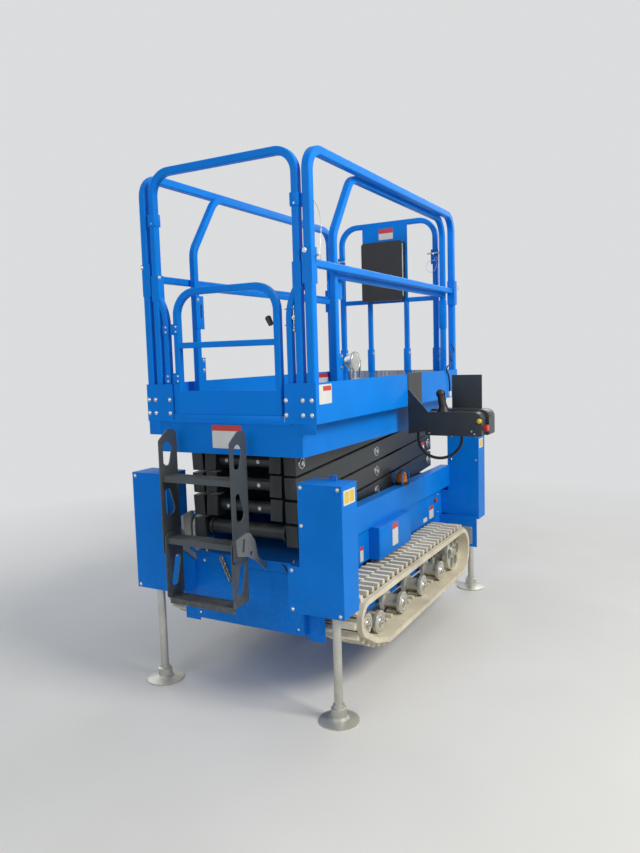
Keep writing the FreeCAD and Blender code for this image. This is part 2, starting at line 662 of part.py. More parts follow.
def inner_frame(stage):
    """Two inner arms, from the rear bottom pin at the origin towards -Y, and their cross tubes."""
    one = arm(s.inner_arm_face).mirror(Vector(), ALONG_Y)
    low_end = stub_end if stage > 1 else s.slide_outer
    high_end = stub_end if stage < 4 else s.hanger_inner + s.hanger_thickness + s.pin_cap
    pins = [stub_pin(0, low_end), stub_pin(-s.arm_length / 2, stub_end),
            stub_pin(-s.arm_length, high_end)]
    if stage == 1:
        pins.append(Part.makeCylinder(s.slide_radius, s.slide_outer - s.slide_inner,
                                      Vector(s.slide_inner, 0, 0), ALONG_X))
    sides = [one.multiFuse(pins).removeSplitter()]
    sides.append(mirrored(sides[0]))
    width = 2 * s.inner_arm_face
    across = [Part.makeCylinder(s.tube_radius, width, Vector(-s.inner_arm_face, place, 0), ALONG_X)
              for place in (0, -s.arm_length)]
    middle = -s.arm_length / 2
    if stage == 1:
        place = Vector(-s.inner_arm_face, middle - s.ram_span / 2, -s.ram_offset)
        across.append(Part.makeCylinder(s.pin_radius, width, place, ALONG_X))
    if stage == 2:
        eye = Vector(0, middle + s.ram_span / 2, s.ram_offset)
        tube_place = eye + Vector(0, s.ear_reach, 0)
        ears = [Part.makeCylinder(s.ear_tube, width, tube_place - Vector(s.inner_arm_face, 0, 0), ALONG_X)]
        for face in (ear_face, -ear_face - s.ear_thickness):
            ears.append(Part.makeBox(s.ear_thickness, s.ear_reach + s.ram_eye, 2 * s.ear_tube,
                                     Vector(face, eye.y - s.ram_eye, eye.z - s.ear_tube)))
        across.append(joined(ears))
    return Part.makeCompound(sides + across)


for stage in range(1, 5):
    base = stage_height(stage)
    outer = arm(outer_arm_face)
    if stage == 4:
        roller = [Part.makeCylinder(s.pin_radius, s.slide_outer - outer_arm_face,
                                    Vector(outer_arm_face, s.arm_length, 0), ALONG_X),
                  Part.makeCylinder(s.slide_radius, s.slide_outer - s.slide_inner,
                                    Vector(s.slide_inner, s.arm_length, 0), ALONG_X)]
        outer = outer.multiFuse(roller)
    node(f"outer_arms_{stage}", solid(f"outer_pair_{stage}", both_sides(outer), Placement(
        Vector(0, -s.pivot_along, base), Rotation(ALONG_X, rest_angle))))
    node(f"inner_frame_{stage}", solid(f"inner_pair_{stage}", inner_frame(stage), Placement(
        Vector(0, -s.pivot_along + reach, base), Rotation(ALONG_X, -rest_angle))))

# Lift cylinder: the barrel's eye turns on the first inner frame, the rod's eye is left open


def frame_point(stage, along, up):
    """A point of an inner frame in the machine's axes."""
    origin = Vector(0, -s.pivot_along + reach, stage_height(stage))
    return origin + Rotation(ALONG_X, -rest_angle).multVec(Vector(0, along, up))


ram_low = frame_point(1, -s.arm_length / 2 - s.ram_span / 2, -s.ram_offset)
ram_high = frame_point(2, -s.arm_length / 2 + s.ram_span / 2, s.ram_offset)
ram_length = (ram_high - ram_low).Length
ram_tilt = math.degrees(math.atan2(ram_high.z - ram_low.z, ram_high.y - ram_low.y))
ram_pose = Placement(ram_low, Rotation(ALONG_X, ram_tilt))
barrel_end = ram_length - s.ram_eye - 60
eye_start = Vector(-s.ram_eye_half, 0, 0)

barrel = Part.makeCylinder(s.ram_radius, barrel_end - s.ram_eye, Vector(0, s.ram_eye, 0), ALONG_Y)
barrel = barrel.fuse(Part.makeCylinder(s.ram_eye + 6, 2 * s.ram_eye_half, eye_start, ALONG_X))
barrel = barrel.cut(Part.makeCylinder(bore_radius, 2 * s.ram_radius, Vector(-s.ram_radius, 0, 0), ALONG_X))
barrel = barrel.cut(Part.makeCylinder(s.ram_rod_radius + s.rod_fit, barrel_end - 2 * s.ram_eye,
                                      Vector(0, 2.5 * s.ram_eye, 0), ALONG_Y))
node("lift_cylinder", solid("ram_barrel", barrel, ram_pose))

rod = Part.makeCylinder(s.ram_rod_radius, ram_length - 3 * s.ram_eye, Vector(0, 3 * s.ram_eye, 0), ALONG_Y)
rod = rod.fuse(Part.makeCylinder(s.ram_eye, 2 * s.ram_eye_half, eye_start + Vector(0, ram_length, 0), ALONG_X))
node("lift_rod", solid("ram_rod", rod.removeSplitter(), ram_pose))

# Platform deck, its skirt, the slide channels and the hangers that hold the last inner frame

node("platform_deck", block("deck", ("-deck_half", "deck_half"), ("-deck_front+plate", "deck_rear-plate"),
                            ("deck_bottom", "deck_bottom+deck_thickness")))

skirt = [
    block("skirt_front", ("-skirt_half", "skirt_half"), ("-deck_front+plate", "-deck_front+plate+skirt_plate"),
          ("skirt_bottom", "deck_bottom")),
]
for side_name, side in SIDES:
    face = side * s.skirt_half
    front = -s.deck_front + s.plate + s.skirt_plate
    outline = [Vector(face, front, s.skirt_bottom), Vector(face, s.skirt_cut, s.skirt_bottom),
               Vector(face, s.skirt_rise, s.skirt_tail), Vector(face, s.deck_rear - s.plate, s.skirt_tail),
               Vector(face, s.deck_rear - s.plate, s.deck_bottom), Vector(face, front, s.deck_bottom)]
    skirt.append(solid(f"skirt_side_{side_name}", pad(outline, Vector(-side * s.skirt_plate, 0, 0))))
node("platform_skirt", fuse("skirt", skirt))

top_pivot = "pivot_height+4*stage_pitch"
hangers = []
for side_name, side in SIDES:
    web = block(f"channel_web_{side_name}", between(side, "channel_web", "channel_web+channel_wall"),
                ("-channel_front", "channel_rear"),
                (f"{top_pivot}-slide_radius-roller_gap-channel_wall", "deck_bottom"))
    below = block(f"channel_below_{side_name}", between(side, "channel_inner", "channel_web"),
                  ("-channel_front", "channel_rear"),
                  (f"{top_pivot}-slide_radius-roller_gap-channel_wall",
                   f"{top_pivot}-slide_radius-roller_gap"))
    above = block(f"channel_above_{side_name}", between(side, "channel_inner", "channel_web"),
                  ("-channel_front", "channel_rear"),
                  (f"{top_pivot}+slide_radius+roller_gap",
                   f"{top_pivot}+slide_radius+roller_gap+channel_wall"))
    node(f"slide_channel_{side_name}", fuse(f"channel_{side_name}", [web, below, above]))
    plate = block(f"hanger_plate_{side_name}", between(side, "hanger_inner", "hanger_inner+hanger_thickness"),
                  ("-pivot_along-hanger_half", "-pivot_along+hanger_half"),
                  (f"{top_pivot}-hanger_half", "deck_bottom"))
    hole = bar(f"hanger_hole_{side_name}", "pin_radius+pin_fit",
               between(side, "hanger_inner-1", "hanger_inner+hanger_thickness+1"),
               "-pivot_along", top_pivot)
    hangers.append(cut(f"hanger_{side_name}", plate, hole))

node("deck_hangers", doc.addObject("Part::Compound", "hanger_pair"))
doc.getObject("hanger_pair").Links = hangers

# Toe boards down both sides and the corner plates either side of the gate

boards = []
for side_name, side in SIDES:
    boards.append(block(f"toe_side_{side_name}", between(side, "deck_half", "deck_half+plate"),
                        ("-deck_front", "deck_rear"), ("deck_bottom", "toe_top")))
    boards.append(block(f"toe_front_{side_name}", between(side, "gate_post-gate_post_tube", "deck_half"),
                        ("-deck_front", "-deck_front+plate"), ("deck_bottom", "toe_top")))
    boards.append(block(f"toe_rear_{side_name}", between(side, "ext_half+ext_lift", "deck_half"),
                        ("deck_rear-plate", "deck_rear"), ("deck_bottom", "toe_top")))
sill = block("toe_sill", ("-gate_post", "gate_post"), ("-deck_front", "-deck_front+plate"),
             ("deck_bottom-plate", "deck_bottom+deck_thickness"))
node("toe_boards", fuse("boards", boards + [sill]))

# Guard rails of the fixed deck

deck_top = s.deck_bottom + s.deck_thickness
rail_line = s.deck_half - s.rail_tube / 2
rail_centre_top = s.rail_top - s.rail_tube / 2
rail_front = -s.deck_front + s.plate + s.rail_tube / 2
rail_rear = s.deck_rear - s.plate - s.rail_tube / 2
for side_name, side in SIDES:
    x = side * rail_line
    hoop = tube([Vector(x, rail_front, deck_top), Vector(x, rail_front, rail_centre_top),
                 Vector(x, rail_rear, rail_centre_top), Vector(x, rail_rear, deck_top)],
                s.rail_tube, s.rail_bend, ALONG_X)
    middle = tube([Vector(x, rail_front, s.rail_mid), Vector(x, rail_rear, s.rail_mid)],
                  s.rail_tube - 6, 0, ALONG_X)
    sleeves = [Part.makeBox(s.sleeve, s.sleeve, s.sleeve_top - s.sleeve_bottom,
                            Vector(x - s.sleeve / 2 + aside * side * (s.sleeve - s.rail_tube) / 2,
                                   along - s.sleeve / 2 - shift, s.sleeve_bottom))
               for along, shift, aside in ((rail_front, -4, -1), (rail_rear, 4, 1))]
    node(f"side_rail_{side_name}", solid(f"rail_{side_name}", joined([hoop, middle] + sleeves)))

hoop_centre_top = s.rail_top - s.hoop_tube / 2
hoop_along = -s.deck_front + s.plate + s.hoop_tube / 2
front = [tube([Vector(-s.hoop_half, hoop_along, deck_top), Vector(-s.hoop_half, hoop_along, hoop_centre_top),
               Vector(s.hoop_half, hoop_along, hoop_centre_top), Vector(s.hoop_half, hoop_along, deck_top)],
              s.hoop_tube, s.rail_bend, ALONG_Y)]
for side_name, side in SIDES:
    front.append(Part.makeBox(s.hoop_collar, s.hoop_collar, s.collar_top - s.collar_bottom,
                              Vector(side * s.hoop_half - s.hoop_collar / 2, hoop_along - s.hoop_tube / 2,
                                     s.collar_bottom)))
    top = s.gate_post_top - s.gate_post_tube / 2
    front.append(tube([Vector(side * s.gate_post, hoop_along, deck_top),
                       Vector(side * s.gate_post, hoop_along, top - s.gate_post_lean),
                       Vector(side * s.hoop_half, hoop_along, top)],
                      s.gate_post_tube, s.gate_post_bend, ALONG_Y, 5))
hinge_inner_face = s.gate_post - s.gate_post_tube / 2
for height in (s.hinge_low, s.hinge_high):
    foot = height - s.hinge_half - s.plate
    front.append(Part.makeCylinder(s.hinge_radius, 2 * s.hinge_half + 2 * s.plate,
                                   Vector(-s.hinge_across, hoop_along, foot)))
    front.append(Part.makeBox(hinge_inner_face - s.hinge_across + s.knuckle_radius, 2 * s.knuckle_radius,
                              s.plate, Vector(-hinge_inner_face, hoop_along - s.knuckle_radius, foot)))
node("front_hoop", solid("front_rail", joined(front)))

# Gate between the front posts, turning on two pins at its left

gate_top_line = s.gate_top - s.gate_tube / 2
gate = [tube([Vector(-s.gate_half, hoop_along, s.gate_bottom), Vector(-s.gate_half, hoop_along, gate_top_line),
              Vector(s.gate_half, hoop_along, gate_top_line), Vector(s.gate_half, hoop_along, s.gate_bottom)],
             s.gate_tube, s.gate_bend, ALONG_Y, 5)]
gate.append(tube([Vector(-s.gate_half, hoop_along, s.gate_mid), Vector(s.gate_half, hoop_along, s.gate_mid)],
                 s.gate_tube - 4, 0, ALONG_Y, 5))
gate.append(Part.makeBox(2 * s.gate_half, s.plate, s.kick_top - s.gate_bottom,
                         Vector(-s.gate_half, hoop_along - s.gate_tube / 2, s.gate_bottom)))
knuckle_bores = []
for height in (s.hinge_low, s.hinge_high):
    foot = Vector(-s.hinge_across, hoop_along, height - s.hinge_half)
    gate.append(Part.makeCylinder(s.knuckle_radius, 2 * s.hinge_half, foot))
    gate.append(Part.makeBox(s.hinge_across - s.gate_half, 6, 2 * s.hinge_half, foot - Vector(0, 3, 0)))
    knuckle_bores.append(Part.makeCylinder(s.hinge_radius + s.hinge_fit, 2 * s.hinge_half, foot))
node("entry_gate", solid("gate", joined(gate).cut(Part.makeCompound(knuckle_bores))))

# Roll-out deck with its two sloped side hoops, end hoop and end board

ext_floor = deck_top + s.ext_lift
ext_top_of_plate = ext_floor + s.ext_plate
plate = block("ext_floor", ("-ext_half", "ext_half"), ("-ext_front", "ext_rear"),
              ("deck_bottom+deck_thickness+ext_lift", "deck_bottom+deck_thickness+ext_lift+ext_plate"))
board = block("ext_board", ("-ext_half", "ext_half"), ("ext_rear-plate", "ext_rear"),
              ("deck_bottom+deck_thickness+ext_lift+ext_plate", "toe_top"))
runners = [block(f"ext_runner_{name}", between(side, "ext_half-runner_width", "ext_half"),
                 ("-ext_front", "ext_rear"),
                 ("deck_bottom+deck_thickness+runner_fit", "deck_bottom+deck_thickness+ext_lift"))
           for name, side in SIDES]
node("roll_out_deck", fuse("ext_deck", [plate, board] + runners))

ext_line = s.ext_half - s.ext_tube / 2
ext_centre_top = s.ext_top - s.ext_tube / 2
for side_name, side in SIDES:
    x = side * ext_line
    hoop = tube([Vector(x, -s.ext_post, ext_top_of_plate), Vector(x, -s.ext_post, s.ext_knee),
                 Vector(x, -s.ext_top_front, ext_centre_top), Vector(x, s.ext_rear_post, ext_centre_top),
                 Vector(x, s.ext_rear_post, ext_top_of_plate)], s.ext_tube, s.ext_bend, ALONG_X, 6)
    middle = tube([Vector(x, -s.ext_post, s.ext_mid), Vector(x, s.ext_rear_post, s.ext_mid)],
                  s.ext_tube - 4, 0, ALONG_X, 5)
    stub = Part.makeBox(s.ext_tube, s.ext_tube, s.ext_stub_top - ext_top_of_plate,
                        Vector(x - s.ext_tube / 2, -s.ext_post + s.ext_tube / 4, ext_top_of_plate))
    node(f"roll_out_rail_{side_name}", solid(f"ext_rail_{side_name}", joined([hoop, middle, stub])))

end_line = s.ext_rear - s.plate - s.ext_tube / 2
end_centre_top = s.end_top - s.ext_tube / 2
end_parts = [tube([Vector(-s.end_half, end_line, ext_top_of_plate), Vector(-s.end_half, end_line, end_centre_top),
                   Vector(s.end_half, end_line, end_centre_top), Vector(s.end_half, end_line, ext_top_of_plate)],
                  s.ext_tube, s.ext_bend, ALONG_Y, 6),
             tube([Vector(-s.end_half, end_line, s.end_mid), Vector(s.end_half, end_line, s.end_mid)],
                  s.ext_tube - 4, 0, ALONG_Y, 5)]
for place in (-s.end_short_post, s.end_short_post):
    end_parts.append(tube([Vector(place, end_line, ext_top_of_plate), Vector(place, end_line, s.end_mid)],
                          s.ext_tube - 4, 0, ALONG_Y, 5))
end_parts.append(Part.makeBox(2 * s.panel_half, s.plate, s.panel_top - s.end_mid,
                              Vector(-s.folder_centre - s.panel_half,
                                     end_line - s.ext_tube / 2 - s.plate, s.end_mid)))
node("roll_out_end_rail", solid("end_rail", joined(end_parts)))

folder_back = end_line - s.ext_tube / 2 - s.plate
folder = pad(rounded([Vector(-s.folder_centre - s.folder_half, folder_back, s.folder_bottom),
                      Vector(-s.folder_centre + s.folder_half, folder_back, s.folder_bottom),
                      Vector(-s.folder_centre + s.folder_half, folder_back, s.folder_top),
                      Vector(-s.folder_centre - s.folder_half, folder_back, s.folder_top)], 20, ALONG_Y),
             Vector(0, -s.folder_depth, 0))
node("document_box", solid("folder", folder))

# Control console outboard of the right toe board, on a hook-over bracket

# Cable points from the console's left front lower edge
CABLE_STEPS = [
    (172, 88, 0), (172, 88, -41), (154, 82, -80), (121, 74, -110), (78, 66, -126),
    (32, 62, -126), (-11, 62, -110), (-44, 64, -80), (-62, 66, -41), (-62, 66, 16),
]
CABLE_ROUTE = [(s.console_start + x, y - s.console_front, s.console_bottom + z) for x, y, z in CABLE_STEPS]
CABLE_END = CABLE_ROUTE[-1]

toe_face = s.deck_half + s.plate
bracket = [
    Part.makeBox(s.plate, s.console_rear + s.console_front, s.toe_top + s.plate - s.bracket_bottom,
                 Vector(toe_face, -s.console_front, s.bracket_bottom)),
    Part.makeBox(3 * s.plate, s.console_rear + s.console_front, s.plate,
                 Vector(toe_face - 2 * s.plate, -s.console_front, s.toe_top)),
    pad([Vector(toe_face, -s.console_front, s.bracket_bottom),
         Vector(s.gusset_reach, -s.console_front, s.bracket_bottom + 20),
         Vector(s.gusset_reach, -s.console_front, s.console_top - 10),
         Vector(toe_face, -s.console_front, s.gusset_top)], Vector(0, s.plate, 0)),
    Part.makeBox(s.cable_seat_width + s.plate, s.cable_seat_depth, s.plate,
                 Vector(toe_face, CABLE_END[1] - s.cable_seat_depth / 2, CABLE_END[2])),
]
node("console_bracket", solid("bracket", joined(bracket)))

def console_body(end, top, front, rear):
    """A length of the console with its outer top edge rounded."""
    points = [Vector(s.console_start, 0, s.console_bottom), Vector(end, 0, s.console_bottom),
              Vector(end, 0, top), Vector(s.console_start, 0, top)]
    body = pad(rounded(points, [8, 8, s.console_round, 8], ALONG_Y), Vector(0, rear - front, 0))
    body.translate(Vector(0, front, 0))
    return body


console = console_body(s.console_end, s.console_top, -s.console_front + s.plate, s.console_step)
shell = console_body(s.console_end + s.shell_reach, s.console_top + s.shell_rise, s.console_step, s.console_rear)
hood = Part.makeBox(s.hood_end - s.hood_start, s.plate, s.hood_top - s.console_top,
                    Vector(s.hood_start, s.console_rear - s.plate, s.console_top))
node("console_box", solid("console", joined([console, shell, hood])))

stick_y = (s.console_step - s.console_front) / 2
stick = Part.makeCone(32, 22, 26, Vector(s.stick_across, stick_y, s.console_top))
lean = Vector(-math.sin(math.radians(s.stick_lean)), 0, math.cos(math.radians(s.stick_lean)))
grip = Vector(s.stick_across, stick_y, s.console_top + 10)
stick = stick.fuse(Part.makeCylinder(20, s.stick_height, grip, lean))
stick = stick.fuse(Part.makeSphere(24, grip + lean * s.stick_height))
node("joystick", solid("stick", stick))

button_z = (s.console_bottom + s.console_top) / 2 - 20
button_start = s.console_end
stop = Part.makeCylinder(s.button_radius - 6, s.button_height - 10,
                         Vector(button_start, stick_y, button_z), ALONG_X)
stop = stop.fuse(Part.makeCylinder(s.button_radius, 10,
                                   Vector(button_start + s.button_height - 10, stick_y, button_z), ALONG_X))
node("stop_button", solid("stop", stop))

# Console cable: hangs from the console's underside round to the bracket's foot



def soft_route(points, share=0.45):
    """Straight runs joined by tangent arcs, each as large as its two runs allow."""
    corners = [Vector(*point) for point in points]
    edges = []
    radii = []
    here = corners[0]
    for index in range(1, len(corners) - 1):
        before = corners[index] - corners[index - 1]
        after = corners[index + 1] - corners[index]
        turn = before.getAngle(after)
        run = share * min(before.Length, after.Length)
        radii.append(run / math.tan(turn / 2))
        start = corners[index] - Vector(before).normalize() * run
        stop_at = corners[index] + Vector(after).normalize() * run
        bisector = (Vector(after).normalize() - Vector(before).normalize()).normalize()
        centre = corners[index] + bisector * (radii[-1] / math.cos(turn / 2))
        middle = centre - bisector * radii[-1]
        edges.append(Part.LineSegment(here, start).toShape())
        edges.append(Part.Arc(start, middle, stop_at).toShape())
        here = stop_at
    edges.append(Part.LineSegment(here, corners[-1]).toShape())
    print("bend radii", [round(radius) for radius in radii])
    return Part.Wire(edges)


def soft_tube(points, radius):
    route = soft_route(points)
    start = Vector(*points[0])
    way = (Vector(*points[1]) - start).normalize()
    ring = Part.Wire(Part.makeCircle(radius, start, way))
    shape = route.makePipeShell([ring], True, False)
    print("tube volume share", round(shape.Volume / (math.pi * radius ** 2 * route.Length), 4))
    return shape


node("console_cable", solid("cable", soft_tube(CABLE_ROUTE, s.cable_radius)))

# Work lamp on the right toe board

lamp_across = s.deck_half - s.lamp_stem
lamp = Part.makeCylinder(s.lamp_stem, 110, Vector(lamp_across, -s.lamp_along, s.toe_top - 40))
lamp = lamp.fuse(Part.makeBox(2 * s.lamp_stem, 24, 40, Vector(lamp_across - s.lamp_stem, -s.lamp_along - 12,
                                                              s.toe_top - 40)))
lamp_back = Vector(s.deck_half - s.lamp_depth, -s.lamp_along, s.toe_top + 80)
lamp_rim = lamp_back + Vector(s.lamp_depth - s.lamp_stem, 0, 0)
lamp = lamp.fuse(Part.makeCone(s.lamp_radius / 2, s.lamp_radius, s.lamp_depth - s.lamp_stem, lamp_back, ALONG_X))
lamp = lamp.fuse(Part.makeCylinder(s.lamp_radius, s.lamp_stem, lamp_rim, ALONG_X))
node("deck_lamp", solid("lamp", lamp))

# Ladder at the front: fixed upper half and a lower half that swings out


def stringer(x, outline, holes):
    """A ladder side plate: outline and holes as corners with their rounding, Y from the front edge."""
    side_plate = pad(rounded([Vector(x, along - s.ladder_front, height) for along, height, radius in outline],
                             [radius for along, height, radius in outline], ALONG_X),
                     Vector(s.ladder_plate, 0, 0))
    for hole in holes:
        side_plate = side_plate.cut(pad(
            rounded([Vector(x, along - s.ladder_front, height) for along, height, radius in hole],
                    [radius for along, height, radius in hole], ALONG_X),
            Vector(s.ladder_plate, 0, 0)))
    return side_plate


def step(height, left, right):
    """A folded tread between the two side plates."""
    top = Part.makeBox(right - left, s.step_depth, s.plate,
                       Vector(left, -s.ladder_front + 12, height + s.step_height - s.plate))
    lip = Part.makeBox(right - left, s.plate, s.step_height, Vector(left, -s.ladder_front + 12, height))
    return top.fuse(lip)


nest = s.ladder_plate + s.ladder_fit
ladder_width = s.ladder_front - s.ladder_rear
upper_outline = [(0, s.ladder_joint - 40, 12), (ladder_width, s.ladder_joint - 40, 12),
                 (ladder_width, s.ladder_top, 34), (60, s.ladder_top, 24), (0, s.ladder_top - 44, 14)]
upper_windows = [
    [(24, s.ladder_top - 159, 18), (64, s.ladder_top - 159, 18), (94, s.ladder_top - 54, 30),
     (24, s.ladder_top - 54, 30)],
    [(28, s.ladder_joint + 129, 20), (98, s.ladder_joint + 129, 30), (58, s.ladder_joint + 251, 15),
     (26, s.ladder_joint + 251, 15)],
]
upper = [stringer(-s.ladder_left, upper_outline, upper_windows),
         stringer(s.ladder_right, upper_outline, upper_windows),
         step(s.step_one, -s.ladder_left + s.ladder_plate, s.ladder_right)]
lower_left = -s.ladder_left + nest
lower_right = s.ladder_right - nest
lower_width = ladder_width - s.ladder_fit
lower_outline = [(0, s.ladder_bottom, 12), (lower_width, s.ladder_bottom, 12),
                 (lower_width, s.ladder_joint + 55, 34), (0, s.ladder_joint + 55, 34)]
lower_windows = [[(26, s.ladder_bottom + 46, 18), (68, s.ladder_bottom + 46, 18),
                  (102, s.ladder_bottom + 182, 18), (60, s.ladder_bottom + 182, 18)]]
lower = [stringer(lower_left, lower_outline, lower_windows),
         stringer(lower_right, lower_outline, lower_windows)]
for height in (s.step_two, s.step_three):
    lower.append(step(height, lower_left + s.ladder_plate, lower_right))
pivot = Vector(-s.ladder_left, -s.ladder_pivot_along, s.ladder_pivot)
pin_length = s.ladder_right + s.ladder_plate + s.ladder_left
ladder_pin = Part.makeCylinder(s.ladder_pin, pin_length, pivot, ALONG_X)
ladder_hole = Part.makeCylinder(s.ladder_pin + s.hinge_fit, pin_length, pivot, ALONG_X)
node("ladder_lower", solid("lower_ladder", joined(lower).cut(ladder_hole)))
node("ladder_upper", solid("upper_ladder", joined(upper + [ladder_pin])))

# Hinge plates outside the ladder, each with a curved slot and an oval hole

# along the ladder's front edge, above the pivot, rounding
HINGE_PLATE = [(19, -9, 6), (93, -28, 12), (150, -58, 12), (230, -122, 0), (230, -90, 0), (170, -46, 12),
               (151, 32, 20), (115, 72, 14), (92, 77, 20), (10, 62, 14)]
HINGE_SLOT = [(50, 0, 8), (66, -4, 8), (76, 56, 8), (60, 60, 8)]
HINGE_HOLE = [(108, -26, 9), (126, -32, 9), (130, -10, 9), (112, -4, 9)]


def hinge_plate(x):
    shapes = [pad(rounded([Vector(x, along - s.ladder_front, s.ladder_pivot + rise) for along, rise, radius in table],
                          [radius for along, rise, radius in table], ALONG_X), Vector(s.hinge_plate, 0, 0))
              for table in (HINGE_PLATE, HINGE_SLOT, HINGE_HOLE)]
    return shapes[0].cut(Part.makeCompound(shapes[1:]))


node("ladder_hinges", solid("hinge_plates", Part.makeCompound([
    hinge_plate(-s.ladder_left - s.hinge_plate), hinge_plate(s.ladder_right + s.ladder_plate)])))

# Check every object, then write the sub-parts

doc.recompute()
for obj in doc.Objects:
    bad = [state for state in obj.State if state in ("Invalid", "Error")]
    if bad:
        raise RuntimeError(f"{obj.Label} is {bad}")
for obj in nodes:
    if obj.Shape.isNull() or not obj.Shape.isValid():
        raise RuntimeError(f"{obj.Label} has no valid shape")
for obj in nodes:
    obj.Shape.exportStep(f"parts/{obj.Label}.step")
print(len(nodes), "sub-parts written")
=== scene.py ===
import bpy
import bmesh
import json
import math
from mathutils import Matrix, Vector


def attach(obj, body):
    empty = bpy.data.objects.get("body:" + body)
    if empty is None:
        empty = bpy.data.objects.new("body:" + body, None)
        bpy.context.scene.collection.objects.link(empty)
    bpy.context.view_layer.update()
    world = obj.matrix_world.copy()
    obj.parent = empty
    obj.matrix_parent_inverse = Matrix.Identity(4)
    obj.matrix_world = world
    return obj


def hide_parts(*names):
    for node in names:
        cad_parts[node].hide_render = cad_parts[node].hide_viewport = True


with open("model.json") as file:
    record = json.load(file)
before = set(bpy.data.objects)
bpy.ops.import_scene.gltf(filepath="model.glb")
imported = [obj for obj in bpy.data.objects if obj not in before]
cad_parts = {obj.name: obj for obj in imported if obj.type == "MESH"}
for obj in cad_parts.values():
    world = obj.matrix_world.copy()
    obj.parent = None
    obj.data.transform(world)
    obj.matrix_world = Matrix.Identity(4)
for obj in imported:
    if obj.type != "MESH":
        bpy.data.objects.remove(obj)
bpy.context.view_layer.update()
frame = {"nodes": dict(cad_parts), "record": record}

X, Y, Z = Vector((1, 0, 0)), Vector((0, 1, 0)), Vector((0, 0, 1))
SIDES = (("left", -1), ("right", 1))
ENDS = (("front", -1), ("rear", 1))

# Camera at the photograph's place

CAMERA_PLACE = Vector((1.832, -3.539, 1.556))
azimuth, pitch, roll = (math.radians(angle) for angle in (28.65, 5.7, -1.66))
ahead = Vector((-math.sin(azimuth) * math.cos(pitch), math.cos(azimuth) * math.cos(pitch), -math.sin(pitch)))
level = ahead.cross(Z).normalized()
down = ahead.cross(level)
right = level * math.cos(roll) - down * math.sin(roll)
down = level * math.sin(roll) + down * math.cos(roll)
camera_data = bpy.data.cameras.new("camera")
camera_data.lens = 712.6 / 853 * 36
camera = bpy.data.objects.new("camera", camera_data)
bpy.context.scene.collection.objects.link(camera)
camera.matrix_world = Matrix.Translation(CAMERA_PLACE) @ Matrix((right, -down, -ahead)).transposed().to_4x4()
bpy.context.scene.camera = camera


# Materials

def shade(code):
    """Linear colour of an sRGB hex code."""
    channels = [int(code[index:index + 2], 16) / 255 for index in (0, 2, 4)]
    return [value / 12.92 if value <= 0.04045 else ((value + 0.055) / 1.055) ** 2.4 for value in channels] + [1]


def add(tree, kind, values=(), links=(), **settings):
    """A node with its settings, its sockets' values and the sockets that feed it."""
    made = tree.nodes.new(kind)
    for key, value in settings.items():
        setattr(made, key, value)
    for key, value in dict(values).items():
        made.inputs[key].default_value = value
    for key, source in dict(links).items():
        tree.links.new(source, made.inputs[key])
    return made


def number(tree, operation, first, second, clamp=False):
    """One sum of two sockets or plain numbers."""
    values, links = {}, {}
    for index, term in enumerate((first, second)):
        (values if isinstance(term, (int, float)) else links)[index] = term
    return add(tree, "ShaderNodeMath", values, links, operation=operation, use_clamp=clamp).outputs[0]


def mix(tree, factor, first, second):
    """Two colours mixed, each a socket or a colour."""
    values, links = {}, {0: factor}
    for index, term in ((6, first), (7, second)):
        (values if isinstance(term, list) else links)[index] = term
    return add(tree, "ShaderNodeMix", values, links, data_type="RGBA").outputs[2]


def noise(tree, place, scale, detail=4.0, rough=0.55):
    return add(tree, "ShaderNodeTexNoise", {"Scale": scale, "Detail": detail, "Roughness": rough},
               {"Vector": place}).outputs[0]


def between(tree, source, low, high, start=0.0, end=1.0):
    """The source from low to high turned into start to end."""
    return add(tree, "ShaderNodeMapRange",
               {"From Min": low, "From Max": high, "To Min": start, "To Max": end}, {"Value": source}).outputs[0]


def new_material(name):
    material = bpy.data.materials.new(name)
    material.use_nodes = True
    tree = material.node_tree
    tree.nodes.clear()
    shader = add(tree, "ShaderNodeBsdfPrincipled")
    add(tree, "ShaderNodeOutputMaterial", links={"Surface": shader.outputs[0]})
    return material, tree, shader, add(tree, "ShaderNodeTexCoord").outputs["Object"]


